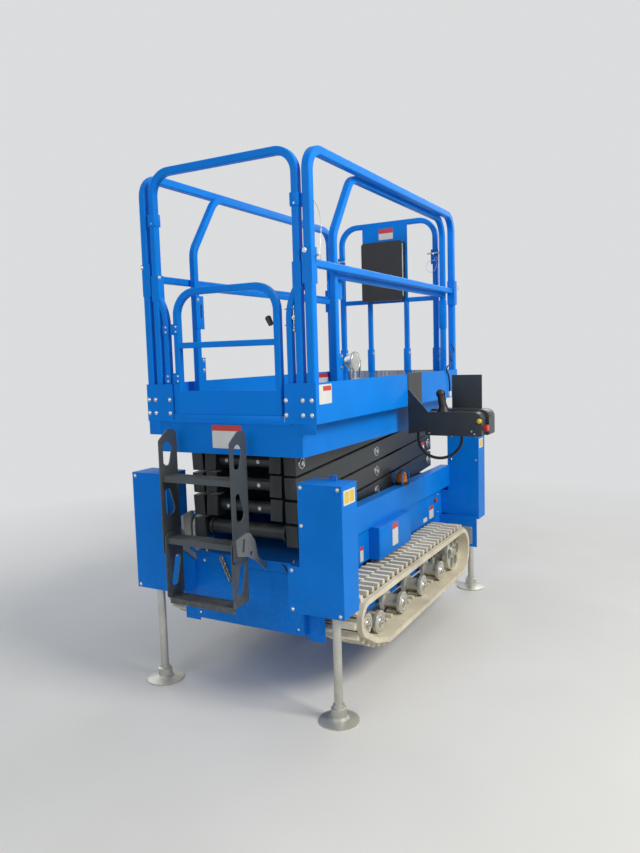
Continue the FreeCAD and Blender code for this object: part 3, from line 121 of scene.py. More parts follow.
def finish(name, colour, roughness=0.4, metallic=0.0, coat=0.0, vary=0.10, dust=0.35, dust_colour="A39C8C",
           bump=0.12, bump_scale=420.0, grain=None, low_dirt=0.5, specular=0.5):
    """A painted, metal, rubber or plastic surface: blotches, fine grain, dust on ledges and dirt low down."""
    material, tree, shader, place = new_material(name)
    base = shade(colour)
    deep = [channel * (1 - 1.6 * vary) for channel in base[:3]] + [1]
    light = [min(1.0, channel * (1 + 1.2 * vary) + 0.01 * vary) for channel in base[:3]] + [1]
    blotch = between(tree, noise(tree, place, 5.0, 6.0), 0.3, 0.7)
    if grain:
        stretched = add(tree, "ShaderNodeMapping", {"Scale": grain}, {"Vector": place}).outputs[0]
        fine = noise(tree, stretched, 60.0, 3.0)
    else:
        fine = noise(tree, place, bump_scale, 3.0)
    tint = mix(tree, blotch, deep, light)
    up = add(tree, "ShaderNodeSeparateXYZ", links={0: add(tree, "ShaderNodeNewGeometry").outputs["Normal"]}).outputs[2]
    ledge = between(tree, up, 0.35, 0.95)
    patch = between(tree, noise(tree, place, 17.0, 8.0, 0.65), 0.38, 0.68)
    dusty = number(tree, "MULTIPLY", number(tree, "MULTIPLY", ledge, patch), dust)
    height = add(tree, "ShaderNodeSeparateXYZ", links={0: place}).outputs[2]
    near_ground = between(tree, height, 0.75, 0.1)
    spatter = between(tree, noise(tree, place, 46.0, 8.0, 0.7), 0.46, 0.66)
    dirty = number(tree, "MULTIPLY", number(tree, "MULTIPLY", near_ground, spatter), low_dirt)
    soil = number(tree, "MAXIMUM", dusty, dirty, True)
    tree.links.new(mix(tree, soil, tint, shade(dust_colour)), shader.inputs["Base Color"])
    worn = number(tree, "ADD", between(tree, fine, 0.3, 0.7, roughness - 0.06, roughness + 0.06),
                  number(tree, "MULTIPLY", soil, 0.35), True)
    tree.links.new(worn, shader.inputs["Roughness"])
    shader.inputs["Metallic"].default_value = metallic
    shader.inputs["Coat Weight"].default_value = coat
    shader.inputs["Coat Roughness"].default_value = 0.12
    shader.inputs["Specular IOR Level"].default_value = specular
    if bump:
        raised = add(tree, "ShaderNodeBump", {"Strength": bump, "Distance": 0.0006}, {"Height": fine})
        tree.links.new(raised.outputs[0], shader.inputs["Normal"])
    return material


def tread_plate(name, colour):
    """Deck plate with short raised bars that lie crosswise by turns."""
    material = finish(name, colour, roughness=0.38, metallic=0.75, vary=0.12, dust=0.5, bump=0)
    tree = material.node_tree
    shader = next(node for node in tree.nodes if node.type == "BSDF_PRINCIPLED")
    place = next(node for node in tree.nodes if node.type == "TEX_COORD").outputs["Object"]
    bars = []
    for turn, shift in ((45, 0.0), (-45, 0.5)):
        turned = add(tree, "ShaderNodeMapping", {"Rotation": (0, 0, math.radians(turn)), "Scale": (24, 46, 1),
                                                 "Location": (shift, shift, 0)}, {"Vector": place}).outputs[0]
        cell = add(tree, "ShaderNodeVectorMath", links={0: turned}, operation="FRACTION").outputs[0]
        parts = add(tree, "ShaderNodeSeparateXYZ", links={0: cell})
        along = number(tree, "ABSOLUTE", number(tree, "SUBTRACT", parts.outputs[0], 0.5), 0)
        across = number(tree, "ABSOLUTE", number(tree, "SUBTRACT", parts.outputs[1], 0.5), 0)
        bars.append(number(tree, "MULTIPLY", between(tree, along, 0.40, 0.30), between(tree, across, 0.24, 0.12)))
    height = number(tree, "MAXIMUM", bars[0], bars[1])
    raised = add(tree, "ShaderNodeBump", {"Strength": 0.8, "Distance": 0.002}, {"Height": height})
    tree.links.new(raised.outputs[0], shader.inputs["Normal"])
    return material


def lens(name, colour, roughness=0.1, through=0.6):
    """Clear coloured plastic with moulded ribs."""
    material, tree, shader, place = new_material(name)
    shader.inputs["Base Color"].default_value = shade(colour)
    shader.inputs["Roughness"].default_value = roughness
    shader.inputs["Transmission Weight"].default_value = through
    ribs = add(tree, "ShaderNodeTexWave", {"Scale": 70.0}, {"Vector": place}, bands_direction="Z").outputs[1]
    cloud = between(tree, noise(tree, place, 30.0), 0.3, 0.7)
    base = shade(colour)
    tree.links.new(mix(tree, cloud, base, [channel * 0.8 for channel in base[:3]] + [1]), shader.inputs["Base Color"])
    raised = add(tree, "ShaderNodeBump", {"Strength": 0.3, "Distance": 0.001}, {"Height": ribs})
    tree.links.new(raised.outputs[0], shader.inputs["Normal"])
    return material


MATERIALS = {
    "blue": finish("blue_paint", "047ADC", 0.42, coat=0.04, vary=0.05, dust=0.10, bump=0.06, low_dirt=0.10,
                   specular=0.08),
    # the body's blue paint drawn a little lighter on the rails: painted sheen of the round tubes
    "rail": finish("rail_paint_with_sheen", "0480E6", 0.40, coat=0.04, vary=0.04, dust=0.05, bump=0.05, low_dirt=0.0,
                   specular=0.08),
    "dark": finish("black_paint", "23292B", 0.42, coat=0.1, vary=0.14, dust=0.16, bump=0.12, low_dirt=0.3),
    "ladder": finish("grey_paint", "4A5156", 0.46, metallic=0.15, vary=0.13, dust=0.35, bump=0.2),
    "plate": finish("grey_plate", "B4B8B8", 0.42, metallic=0.35, vary=0.10, dust=0.2, bump=0.15),
    "pale": finish("pale_plate", "AEB0AB", 0.45, metallic=0.2, vary=0.12, dust=0.25, bump=0.15),
    "wheel": finish("wheel_zinc", "D0D1C8", 0.33, metallic=0.55, vary=0.12, dust=0.2, bump=0.12, low_dirt=0.25),
    "zinc": finish("zinc", "BFC4BF", 0.30, metallic=0.85, vary=0.12, dust=0.14, bump=0.12, low_dirt=0.25),
    "tread": finish("tread_rubber", "F4EFE0", 0.85, vary=0.10, dust=0.2, dust_colour="EEE8D8", bump=0.7,
                    bump_scale=260.0, low_dirt=0.3, specular=0.2),
    "foot": finish("foot_zinc", "C3C3BB", 0.36, metallic=0.6, vary=0.14, dust=0.3, bump=0.2, low_dirt=0.3),
    "bolt": finish("bright_bolt", "D6D6D0", 0.25, metallic=0.95, vary=0.08, dust=0.1, bump=0.05, low_dirt=0.2),
    "rod": finish("polished_rod", "D3D6D8", 0.12, metallic=1.0, vary=0.04, dust=0.05, bump=0.02, low_dirt=0.1),
    "rubber": finish("track_rubber", "D6CEB8", 0.85, vary=0.16, dust=0.35, dust_colour="E0D9C6", bump=0.6,
                     bump_scale=160.0, low_dirt=0.5, specular=0.2),
    # dark rubber skin in the gaps between the lugs: painted shade, with a little dirt low down
    "gap": finish("painted_shade_rubber", "5B5347", 0.9, vary=0.2, dust=0.0, bump=0.5, bump_scale=200.0, low_dirt=0.3,
                  specular=0.1),
    "hinge": finish("hinge_plate", "878A8C", 0.45, metallic=0.2, vary=0.12, dust=0.2, bump=0.15),
    "battery": finish("battery_case", "2A2C2E", 0.5, vary=0.1, dust=0.3),
    "plastic": finish("black_plastic", "16181A", 0.48, vary=0.12, dust=0.22, bump=0.25, bump_scale=900.0),
    "red": finish("red_plastic", "C8201E", 0.3, vary=0.06, dust=0.1, bump=0.04),
    "yellow": finish("yellow_plastic", "E3C31B", 0.32, vary=0.06, dust=0.1, bump=0.04),
    "cable": finish("cable_rubber", "141516", 0.5, vary=0.12, dust=0.3, bump=0.2),
    "white": finish("label_white", "DADCDA", 0.38, vary=0.05, dust=0.12, bump=0.03),
    "label_red": finish("label_red", "C93A35", 0.38, vary=0.05, dust=0.12, bump=0.03),
    "label_yellow": finish("label_yellow", "E0C04A", 0.38, vary=0.05, dust=0.12, bump=0.03),
    "brass": finish("brass", "C2A35A", 0.35, metallic=0.6, vary=0.1, dust=0.1),
    "deck": tread_plate("tread_plate", "A6AAAC"),
    "amber": lens("amber_lens", "FF9418", 0.12, 0.12),
    "glass": lens("lamp_lens", "E8ECEE", 0.08, 0.5),
}
BY_SLOT = {
    "body_blue": "blue", "rail_blue": "rail", "deck_metal": "deck", "zinc": "zinc", "steel_rod": "rod",
    "track_rubber": "rubber", "black_metal": "dark", "battery_case": "battery", "amber": "amber",
    "black_plastic": "plastic", "red_plastic": "red", "cable": "cable", "dark_grey": "ladder",
}
BY_NODE = {
    "ladder_hinges": "hinge", "pivot_lug_left": "pale", "track_wheels_left": "wheel", "track_wheels_right": "wheel",
}
slots = {entry["node"]: entry["material_slot"] for entry in frame["record"]["subparts"]}
for name, obj in frame["nodes"].items():
    key = "foot" if name.startswith("stabiliser_leg") else BY_NODE.get(name, BY_SLOT[slots[name]])
    for index in range(len(obj.material_slots)):
        obj.material_slots[index].material = MATERIALS[key]
    if not obj.material_slots:
        obj.data.materials.append(MATERIALS[key])

# Worn, rounded edges on the folded and welded pieces

for name, obj in frame["nodes"].items():
    if any(part in name for part in ("stabiliser_box", "skirt", "side_beam", "cabinet", "tub", "console_b", "arms")):
        weld = obj.modifiers.new("weld", "WELD")
        weld.merge_threshold = 0.00001
        bevel = obj.modifiers.new("edges", "BEVEL")
        bevel.width = 0.0018
        bevel.segments = 2
        bevel.limit_method = "ANGLE"
        bevel.angle_limit = math.radians(40)

# Mesh helpers


def turned_to(axis):
    """Turns +Z to the axis."""
    return Z.rotation_difference(Vector(axis)).to_matrix().to_4x4()


def cylinder(bm, start, axis, radius, length, sides=24, end_radius=None):
    """A cylinder or cone from start along the axis."""
    axis = Vector(axis).normalized()
    return bmesh.ops.create_cone(
        bm, cap_ends=True, segments=sides, radius1=radius, radius2=radius if end_radius is None else end_radius,
        depth=length, matrix=Matrix.Translation(Vector(start) + axis * length / 2) @ turned_to(axis))["verts"]


def dome(bm, place, axis, radius, flat=1.0, sides=16):
    """A half ball standing on a face."""
    verts = bmesh.ops.create_uvsphere(bm, u_segments=sides, v_segments=8, radius=radius)["verts"]
    below = [vert for vert in verts if vert.co.z < -1e-6]
    bmesh.ops.delete(bm, geom=below, context="VERTS")
    rest = [vert for vert in verts if vert.is_valid]
    bmesh.ops.transform(bm, verts=rest, matrix=Matrix.Translation(place) @ turned_to(axis)
                        @ Matrix.Diagonal((1, 1, flat, 1)))
    return rest


def block(bm, low, high, bevel=0.0, steps=2):
    """A block between two corners, its edges rounded."""
    low, high = Vector(low), Vector(high)
    size = high - low
    verts = bmesh.ops.create_cube(bm, size=1.0, matrix=Matrix.Translation((low + high) / 2)
                                  @ Matrix.Diagonal((size.x, size.y, size.z, 1)))["verts"]
    if bevel:
        edges = list({edge for vert in verts for edge in vert.link_edges})
        bmesh.ops.bevel(bm, geom=edges, offset=bevel, segments=steps, affect="EDGES", profile=0.5)


def ring(bm, place, axis, radius, thickness, sides=28, around=10):
    """A round ring."""
    turn = Matrix.Translation(place) @ turned_to(axis)
    loops = []
    for index in range(sides):
        angle = 2 * math.pi * index / sides
        loops.append([bm.verts.new(turn @ Vector((
            (radius + thickness * math.cos(2 * math.pi * step / around)) * math.cos(angle),
            (radius + thickness * math.cos(2 * math.pi * step / around)) * math.sin(angle),
            thickness * math.sin(2 * math.pi * step / around)))) for step in range(around)])
    for index in range(sides):
        here, there = loops[index], loops[(index + 1) % sides]
        for step in range(around):
            following = (step + 1) % around
            bm.faces.new((here[step], there[step], there[following], here[following]))


def bolt(bm, place, axis, radius, kind="dome"):
    """A washer with a domed, hexagon or socket head."""
    axis = Vector(axis).normalized()
    place = Vector(place) - axis * 0.0005
    cylinder(bm, place, axis, radius, radius * 0.2 + 0.0005, 24, radius * 0.96)
    top = place + axis * (radius * 0.2 + 0.0004)
    if kind == "dome":
        dome(bm, top, axis, radius * 0.74, 0.62)
    elif kind == "hex":
        cylinder(bm, top, axis, radius * 0.72, radius * 0.42, 6)
        cylinder(bm, top + axis * radius * 0.42, axis, radius * 0.66, radius * 0.07, 6, radius * 0.5)
        cylinder(bm, top + axis * radius * 0.42, axis, radius * 0.36, radius * 0.3, 14, radius * 0.33)
    else:
        cylinder(bm, top, axis, radius * 0.6, radius * 0.5, 20, radius * 0.56)
        cylinder(bm, top + axis * radius * 0.5, axis, radius * 0.3, radius * 0.02, 6)


def piece(name, body, material, bm, smooth=35):
    """A finished mesh that rides a body."""
    bmesh.ops.recalc_face_normals(bm, faces=bm.faces)
    mesh = bpy.data.meshes.new(name)
    bm.to_mesh(mesh)
    bm.free()
    obj = bpy.data.objects.new(name, mesh)
    bpy.context.scene.collection.objects.link(obj)
    mesh.materials.append(MATERIALS[material])
    if smooth:
        mesh.shade_smooth()
        mesh.set_sharp_from_angle(angle=math.radians(smooth))
    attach(obj, body)
    return obj


def line(name, body, material, points, radius, cyclic=False):
    """A bent wire, hose or rod through the points."""
    curve = bpy.data.curves.new(name, "CURVE")
    curve.dimensions = "3D"
    curve.bevel_depth = 1.0
    curve.bevel_resolution = 4
    curve.resolution_u = 8
    curve.use_fill_caps = True
    spline = curve.splines.new("NURBS")
    spline.points.add(len(points) - 1)
    for point, place in zip(spline.points, points):
        point.co = (*place, 1)
        point.radius = radius
    spline.use_cyclic_u = cyclic
    spline.order_u = 3
    spline.use_endpoint_u = not cyclic
    obj = bpy.data.objects.new(name, curve)
    bpy.context.scene.collection.objects.link(obj)
    curve.materials.append(MATERIALS[material])
    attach(obj, body)
    return obj


# Small fasteners: name, body, material, kind, radius, axis, places

FRONT, REAR, UP, LOW = -Y, Y, Z, -Z
PIN_RISE = 0.106
BOLTS = [
    ("corner_bolts", "platform", "bolt", "dome", 0.0095, FRONT,
     [(x, -1.028, z) for x in (-0.433, -0.395, -0.312, 0.304, 0.384, 0.426) for z in (1.375, 1.314)]),
    ("rail_foot_bolts_left", "platform", "bolt", "dome", 0.0085, -X,
     [(-0.4455, y, 1.375) for y in (-0.99, -0.45, 0.15, 0.75)]),
    ("sleeve_bolts", "platform", "bolt", "dome", 0.010, FRONT, [(0.411, -1.024, 1.975), (-0.441, -1.024, 1.975)]),
    ("sleeve_bolts_rear", "platform", "bolt", "dome", 0.010, REAR, [(0.427, 0.81, 1.975), (-0.427, 0.81, 1.975)]),
    ("collar_bolts", "platform", "bolt", "dome", 0.009, X, [(-0.350, -1.014, 1.9255)]),
    ("collar_bolts_right", "platform", "bolt", "dome", 0.009, -X, [(0.350, -1.004, 1.915)]),
    ("box_front_screws", "chassis", "bolt", "dome", 0.0085, FRONT,
     [(side * x, -1.038, z) for side in (-1, 1) for x, z in (
         (0.363, 1.016), (0.536, 1.016), (0.363, 0.855), (0.310, 0.660), (0.310, 0.492), (0.536, 0.491))]),
    ("box_rear_screws", "chassis", "bolt", "dome", 0.0085, REAR,
     [(side * x, 1.038, z) for side in (-1, 1) for x, z in (
         (0.363, 1.016), (0.536, 1.016), (0.363, 0.855), (0.310, 0.660), (0.310, 0.492), (0.536, 0.491))]),
    ("box_inner_screws", "chassis", "bolt", "dome", 0.0075, FRONT,
     [(side * x, 0.898, z) for side in (-1, 1) for x, z in ((0.375, 1.012), (0.536, 1.012), (0.375, 0.86),
                                                            (0.536, 0.86))]),
    ("shelf_bolts", "chassis", "bolt", "dome", 0.0095, FRONT, [(0.235, -0.928, 0.612), (-0.235, -0.928, 0.612)]),
    ("shelf_top_bolts", "chassis", "bolt", "hex", 0.010, UP, [(x, -0.900, 0.650) for x in (-0.24, -0.02, 0.24)]),
    ("lower_panel_bolts", "chassis", "bolt", "dome", 0.008, FRONT, [(x, -0.928, 0.355) for x in (-0.27, 0.27)]),
    ("tub_rear_bolts", "chassis", "bolt", "dome", 0.0085, REAR,
     [(x, 0.928, z) for x in (-0.27, -0.09, 0.09, 0.27) for z in (0.355, 0.61)]),
    ("guard_plate_bolts", "chassis", "bolt", "dome", 0.006, FRONT,
     [(side * x, 0.8610, z) for side in (-1, 1) for x, z in ((0.462, 0.330), (0.462, 0.420), (0.510, 0.420))]),
    ("cabinet_screws", "chassis", "bolt", "dome", 0.006, X,
     [(0.3405, y, z) for y in (-0.72, 0.72) for z in (0.66, 0.545)]),
    ("cabinet_screws_left", "chassis", "bolt", "dome", 0.006, -X,
     [(-0.3405, y, z) for y in (-0.72, 0.72) for z in (0.66, 0.545)]),
    ("gate_leaf_bolts", "entry_gate", "bolt", "dome", 0.005, FRONT,
     [(-0.262, -1.0245, z + rise) for z in (1.470, 1.690) for rise in (-0.011, 0.011)]),
    ("post_leaf_bolts", "platform", "bolt", "dome", 0.005, FRONT,
     [(-0.320, -1.0235, z + rise) for z in (1.470, 1.690) for rise in (-0.011, 0.011)]),
    ("stub_nuts", "roll_out_deck", "bolt", "hex", 0.0095, X, [(x, -0.698, z) for x in (-0.366, 0.398) for z in (1.548, 1.500)]),
    ("stub_heads", "roll_out_deck", "bolt", "dome", 0.0085, -X,
     [(x, -0.698, z) for x in (-0.398, 0.366) for z in (1.548, 1.500)]),
    ("bracket_bolts", "roll_out_deck", "bolt", "hex", 0.0095, -X, [(0.363, -0.728, 1.871)]),
    ("bracket_bolts_left", "roll_out_deck", "bolt", "hex", 0.0095, X, [(-0.363, -0.728, 1.842)]),
    ("end_post_nuts", "roll_out_deck", "bolt", "hex", 0.0115, X,
     [(x + half, 0.780, 1.556) for x, half in ((-0.127, 0.018), (0.127, 0.018), (-0.324, 0.020), (0.324, 0.020))]),
    ("end_post_heads", "roll_out_deck", "bolt", "dome", 0.010, -X,
     [(x - half, 0.780, 1.556) for x, half in ((-0.127, 0.018), (0.127, 0.018), (-0.324, 0.020), (0.324, 0.020))]),
    ("end_post_low_nuts", "roll_out_deck", "bolt", "hex", 0.010, X, [(x + 0.020, 0.780, 1.508) for x in (-0.324, 0.324)]),
    ("board_bolts", "roll_out_deck", "bolt", "dome", 0.009, REAR,
     [(x, 0.804, 1.37) for x in (-0.36, -0.324, -0.127, 0.127, 0.324, 0.36)]),
    ("console_screws", "platform", "bolt", "socket", 0.0042, FRONT,
     [(x, -0.0245, z) for x, z in ((0.560, 1.137), (0.800, 1.137), (0.785, 1.150))]),
]
for name, body, material, kind, radius, axis, places in BOLTS:
    bm = bmesh.new()
    for place in places:
        bolt(bm, place, axis, radius, kind)
    piece(name, body, material, bm)

# Bolts on the cross tubes, and the rings that hold the pins

for stage in (1, 2, 3):
    bm = bmesh.new()
    for x in (-0.100, 0.072):
        bolt(bm, (x, -0.9055, 0.772 + PIN_RISE * stage), FRONT, 0.009, "dome")
    piece(f"cross_tube_bolts_{stage}", f"inner_frame_{stage}", "bolt", bm)
for stage in (1, 2, 3, 4):
    bm = bmesh.new()
    spots = [(-0.079758, 0.825 + PIN_RISE * (stage - 1))]
    if stage > 1:
        spots.append((-0.878, 0.772 + PIN_RISE * (stage - 1)))
    if stage < 4:
        spots.append((0.718484, 0.878 + PIN_RISE * (stage - 1)))
    for along, height in spots:
        for side in (-1, 1):
            ring(bm, (side * 0.2822, along, height), X, 0.0220, 0.0034)
            cylinder(bm, (side * 0.2800, along, height), (side, 0, 0), 0.0270, 0.0020, 32, 0.0260)
            cylinder(bm, (side * 0.2850, along, height), (side, 0, 0), 0.012, 0.003, 6, 0.011)
    piece(f"pin_rings_{stage}", f"outer_arms_{stage}", "zinc", bm)

# Track rollers, sprocket and idler: caps, nuts and belts' guide teeth

WHEELS = [(-0.520, 0.280), (-0.225, 0.280), (0.070, 0.280), (0.365, 0.280), (-0.660, 0.318)]
for side_name, side in SIDES:
    bm = bmesh.new()
    for along, height in WHEELS:
        cylinder(bm, (side * 0.4798, along, height), (side, 0, 0), 0.026, 0.007, 28, 0.022)
        cylinder(bm, (side * 0.4860, along, height), (side, 0, 0), 0.0185, 0.007, 6, 0.0175)
        cylinder(bm, (side * 0.4925, along, height), (side, 0, 0), 0.009, 0.006, 16, 0.008)
        ring(bm, (side * 0.4800, along, height), X, 0.044 if height < 0.3 else 0.038, 0.0028)
    for along, height, radius in ((0.593, 0.3395, 0.050), (-0.763, 0.393, 0.034)):
        cylinder(bm, (side * 0.4798, along, height), (side, 0, 0), 0.030, 0.010, 28, 0.026)
        for index in range(6):
            angle = math.pi * (index + 0.5) / 3
            bolt(bm, (side * 0.4800, along + 0.021 * math.cos(angle) * radius / 0.034,
                      height + 0.021 * math.sin(angle) * radius / 0.034), (side, 0, 0), 0.0055, "hex")
    piece(f"wheel_caps_{side_name}", "chassis", "bolt", bm)
    bm = bmesh.new()
    for index in range(18):
        along = -0.50 + 0.06 * index
        block(bm, (side * 0.425 - 0.028, along, 0.2235), (side * 0.425 + 0.028, along + 0.022, 0.241), 0.004)
    for index in range(21):
        along = -0.66 + 0.06 * index
        block(bm, (side * 0.425 - 0.028, along, 0.437), (side * 0.425 + 0.028, along + 0.022, 0.4555), 0.004)
    piece(f"guide_teeth_{side_name}", "chassis", "rubber", bm, 0)

# Pale worn pads on the lugs' outer faces, and a dark skin in the gaps between the lugs as painted shade


def tread_skin(name, source, depth, material, lift, edge):
    """A thin skin on the track's faces that lie a depth inside its outer line."""
    bm = bmesh.new()
    bm.from_mesh(source.data)
    bmesh.ops.transform(bm, matrix=source.matrix_world, verts=bm.verts)
    bmesh.ops.dissolve_limit(bm, angle_limit=math.radians(2), verts=bm.verts, edges=bm.edges)
    for cut in (-0.516, -0.425, -0.334, 0.334, 0.425, 0.516):
        bmesh.ops.bisect_plane(bm, geom=bm.verts[:] + bm.edges[:] + bm.faces[:], plane_co=(cut, 0, 0), plane_no=X)
    others = []
    for face in bm.faces:
        middle = face.calc_center_median()
        top = abs(middle.z - 0.502 + depth) < 0.0015 and face.normal.z > 0.9
        low = abs(middle.z - 0.177 - depth) < 0.0015 and face.normal.z < -0.9 and -0.56 < middle.y < 0.60
        round_end = middle.y > 0.593 and abs(math.hypot(middle.y - 0.593, middle.z - 0.3395) - 0.1625 + depth) < 0.004
        nose = middle.y < -0.763 and abs(math.hypot(middle.y + 0.763, middle.z - 0.393) - 0.109 + depth) < 0.004
        column = 0.334 < abs(middle.x) < 0.516
        if not (column and abs(face.normal.x) < 0.1 and (top or low or round_end or nose)):
            others.append(face)
    bmesh.ops.delete(bm, geom=others, context="FACES")
    bmesh.ops.inset_region(bm, faces=bm.faces[:], thickness=edge, use_boundary=True)
    rim = [face for face in bm.faces if min(edge_.calc_length() for edge_ in face.edges) < edge * 1.6]
    bmesh.ops.delete(bm, geom=rim, context="FACES")
    raised = bmesh.ops.extrude_face_region(bm, geom=bm.faces[:])
    for item in raised["geom"]:
        if isinstance(item, bmesh.types.BMVert):
            outward = (item.co - Vector((item.co.x, max(-0.70, min(0.55, item.co.y)), 0.34))).normalized()
            item.co += outward * lift
    piece(name, "chassis", material, bm, 0)


for side_name, side in SIDES:
    track = frame["nodes"][f"track_{side_name}"]
    tread_skin(f"lug_pads_{side_name}", track, 0.0, "tread", 0.0012, 0.0012)
    # dark skin in the gaps between the lugs: painted shade
    tread_skin(f"lug_gaps_{side_name}", track, 0.022, "gap", 0.0006, 0.0016)

# Blank plates and labels: name, body, axis, face, low and high in the other two, material, band


def plate(name, body, axis, face, low, high, material, bands=(), thick=0.0008):
    """A thin plate with rounded corners on a face, and coloured bands on it."""
    sign = -1 if axis[0] == "-" else 1
    letter = axis[-1]

    def at(first, second, out):
        if letter == "x":
            return Vector((face + sign * out, first, second))
        if letter == "y":
            return Vector((first, face + sign * out, second))
        return Vector((first, second, face + sign * out))

    def sheet(bm, start, end, bottom, top, corner):
        corner = min(corner, abs(end[0] - start[0]) / 2.1, abs(end[1] - start[1]) / 2.1)
        ground, roof = [], []
        for middle, turn in (((end[0] - corner, end[1] - corner), 0), ((start[0] + corner, end[1] - corner), 90),
                             ((start[0] + corner, start[1] + corner), 180), ((end[0] - corner, start[1] + corner), 270)):
            for step in range(5):
                angle = math.radians(turn + 22.5 * step)
                first, second = middle[0] + corner * math.cos(angle), middle[1] + corner * math.sin(angle)
                ground.append(bm.verts.new(at(first, second, bottom)))
                roof.append(bm.verts.new(at(first, second, top)))
        bm.faces.new(ground)
        bm.faces.new(roof)
        for index in range(len(ground)):
            following = (index + 1) % len(ground)
            bm.faces.new((ground[index], ground[following], roof[following], roof[index]))

    bm = bmesh.new()
    sheet(bm, low, high, -0.0003, thick, 0.005)
    piece(name, body, material, bm, 0)
    for index, (start, end, colour) in enumerate(bands):
        bm = bmesh.new()
        sheet(bm, start, end, thick - 0.0002, thick + 0.0004, 0.003)
        piece(f"{name}_band_{index}", body, colour, bm, 0)


plate("skirt_label", "platform", "-y", -1.024, (-0.084, 1.163), (0.071, 1.265), "white",
      [((-0.084, 1.240), (0.071, 1.265), "label_red")])
plate("toe_label", "platform", "x", 0.4455, (-1.001, 1.356), (-0.891, 1.437), "white",
      [((-0.967, 1.410), (-0.897, 1.430), "label_red")])
plate("toe_label_inside", "platform", "x", -0.4375, (0.60, 1.366), (0.76, 1.436), "white",
      [((0.60, 1.408), (0.76, 1.436), "label_red")])
plate("box_label", "chassis", "x", 0.554, (-1.022, 0.948), (-0.916, 1.010), "white",
      [((-1.012, 0.955), (-0.973, 1.003), "label_yellow"), ((-0.965, 0.955), (-0.926, 1.003), "label_yellow")])
plate("box_label_rear", "chassis", "x", 0.554, (0.912, 0.935), (0.998, 0.995), "white",
      [((0.920, 0.943), (0.990, 0.987), "label_yellow")])
plate("box_label_left", "chassis", "-x", -0.554, (-1.022, 0.948), (-0.916, 1.010), "white",
      [((-1.012, 0.955), (-0.973, 1.003), "label_yellow"), ((-0.965, 0.955), (-0.926, 1.003), "label_yellow")])
plate("locker_label", "chassis", "x", 0.4014, (-0.165, 0.552), (-0.090, 0.672), "white",
      [((-0.165, 0.640), (-0.090, 0.672), "label_red")])
plate("cabinet_label", "chassis", "x", 0.3419, (0.558, 0.532), (0.632, 0.608), "white",
      [((0.558, 0.586), (0.632, 0.608), "label_red")])
plate("cabinet_label_small", "chassis", "x", 0.3419, (0.453, 0.531), (0.517, 0.556), "white", [])
plate("cabinet_label_front", "chassis", "x", 0.3419, (-0.437, 0.531), (-0.400, 0.607), "white",
      [((-0.437, 0.588), (-0.400, 0.607), "label_red")])
plate("arm_label", "outer_arms_3", "x", 0.280, (0.600, 0.955), (0.650, 1.000), "white",
      [((0.600, 0.980), (0.650, 1.000), "label_red")])
plate("end_label", "roll_out_deck", "-y", 0.7645, (-0.049, 2.281), (0.049, 2.349), "white",
      [((-0.049, 2.320), (0.049, 2.349), "label_red")])
for side_name, side in SIDES:
    low, high = sorted((side * 0.452, side * 0.520))
    plate(f"guard_plate_{side_name}", "chassis", "-y", 0.864, (low, 0.319), (high, 0.431), "plate", [], 0.003)

# Gate hinge leaves, latch and knob

bm = bmesh.new()
for height in (1.470, 1.690):
    block(bm, (-0.287, -1.0248, height - 0.020), (-0.250, -1.0205, height + 0.020), 0.0012)
piece("gate_leaves", "entry_gate", "rail", bm)
bm = bmesh.new()
for height in (1.470, 1.690):
    block(bm, (-0.338, -1.0238, height - 0.020), (-0.305, -1.0195, height + 0.020), 0.0012)
block(bm, (0.306, -1.022, 1.7455), (0.368, -0.995, 1.7495), 0.001)
block(bm, (0.306, -1.022, 1.6800), (0.366, -0.995, 1.6840), 0.001)
block(bm, (0.338, -1.001, 1.6835), (0.353, -0.997, 1.7460), 0.001)
piece("latch_bracket", "platform", "rail", bm)
bm = bmesh.new()
cylinder(bm, (0.345, -1.011, 1.658), UP, 0.0045, 0.104, 16)
dome(bm, (0.345, -1.011, 1.661), LOW, 0.008)
dome(bm, (0.345, -1.011, 1.661), UP, 0.008)
ring(bm, (0.345, -1.011, 1.7505), UP, 0.0065, 0.002)
bolt(bm, (0.347, -1.015, 1.712), FRONT, 0.010, "hex")
piece("latch_pin", "platform", "zinc", bm)
bm = bmesh.new()
cylinder(bm, (0.250, -1.007, 1.692), (-1, 0, 0.35), 0.005, 0.030, 14)
cylinder(bm, (0.232, -1.007, 1.688), (-0.5, 0, 1), 0.0115, 0.034, 20, 0.0135)
dome(bm, (0.217, -1.007, 1.718), (-0.5, 0, 1), 0.0135, 0.6)
piece("gate_knob", "entry_gate", "plastic", bm)

# Clamps on the front hoop's posts, pull pins with their rings and wires

for side_name, side in SIDES:
    bm = bmesh.new()
    for low, high in (((0.349, -1.0275, 2.150), (0.391, -0.987, 2.205)), ((0.388, -1.012, 2.158), (0.404, -1.004, 2.197))):
        start, end = sorted((side * low[0], side * high[0]))
        block(bm, (start, low[1], low[2]), (end, high[1], high[2]), 0.003)
    piece(f"hoop_clamp_{side_name}", "platform", "rail", bm)
    bm = bmesh.new()
    bolt(bm, (side * 0.370, -1.0275, 2.162), FRONT, 0.0040, "socket")
    cylinder(bm, (side * 0.4405, -0.990, 1.955), (side, 0, 0), 0.0048, 0.014, 16)
    ring(bm, (side * 0.4555, -0.990, 1.945), (0, 1, 0.1), 0.011, 0.0014)
    cylinder(bm, (side * 0.4405, 0.790, 1.955), (side, 0, 0), 0.0048, 0.014, 16)
    ring(bm, (side * 0.4555, 0.790, 1.945), (0, 1, 0.1), 0.011, 0.0014)
    piece(f"pull_pins_{side_name}", "platform", "zinc", bm)
    line(f"pin_wire_{side_name}", "platform", "zinc",
         [(side * 0.4425, -1.000, 2.170), (side * 0.447, -0.975, 2.155), (side * 0.452, -0.955, 2.100),
          (side * 0.455, -0.965, 2.030), (side * 0.456, -0.985, 1.957)], 0.0012)

# Brackets, sleeves, stubs and T-pins of the roll-out rails

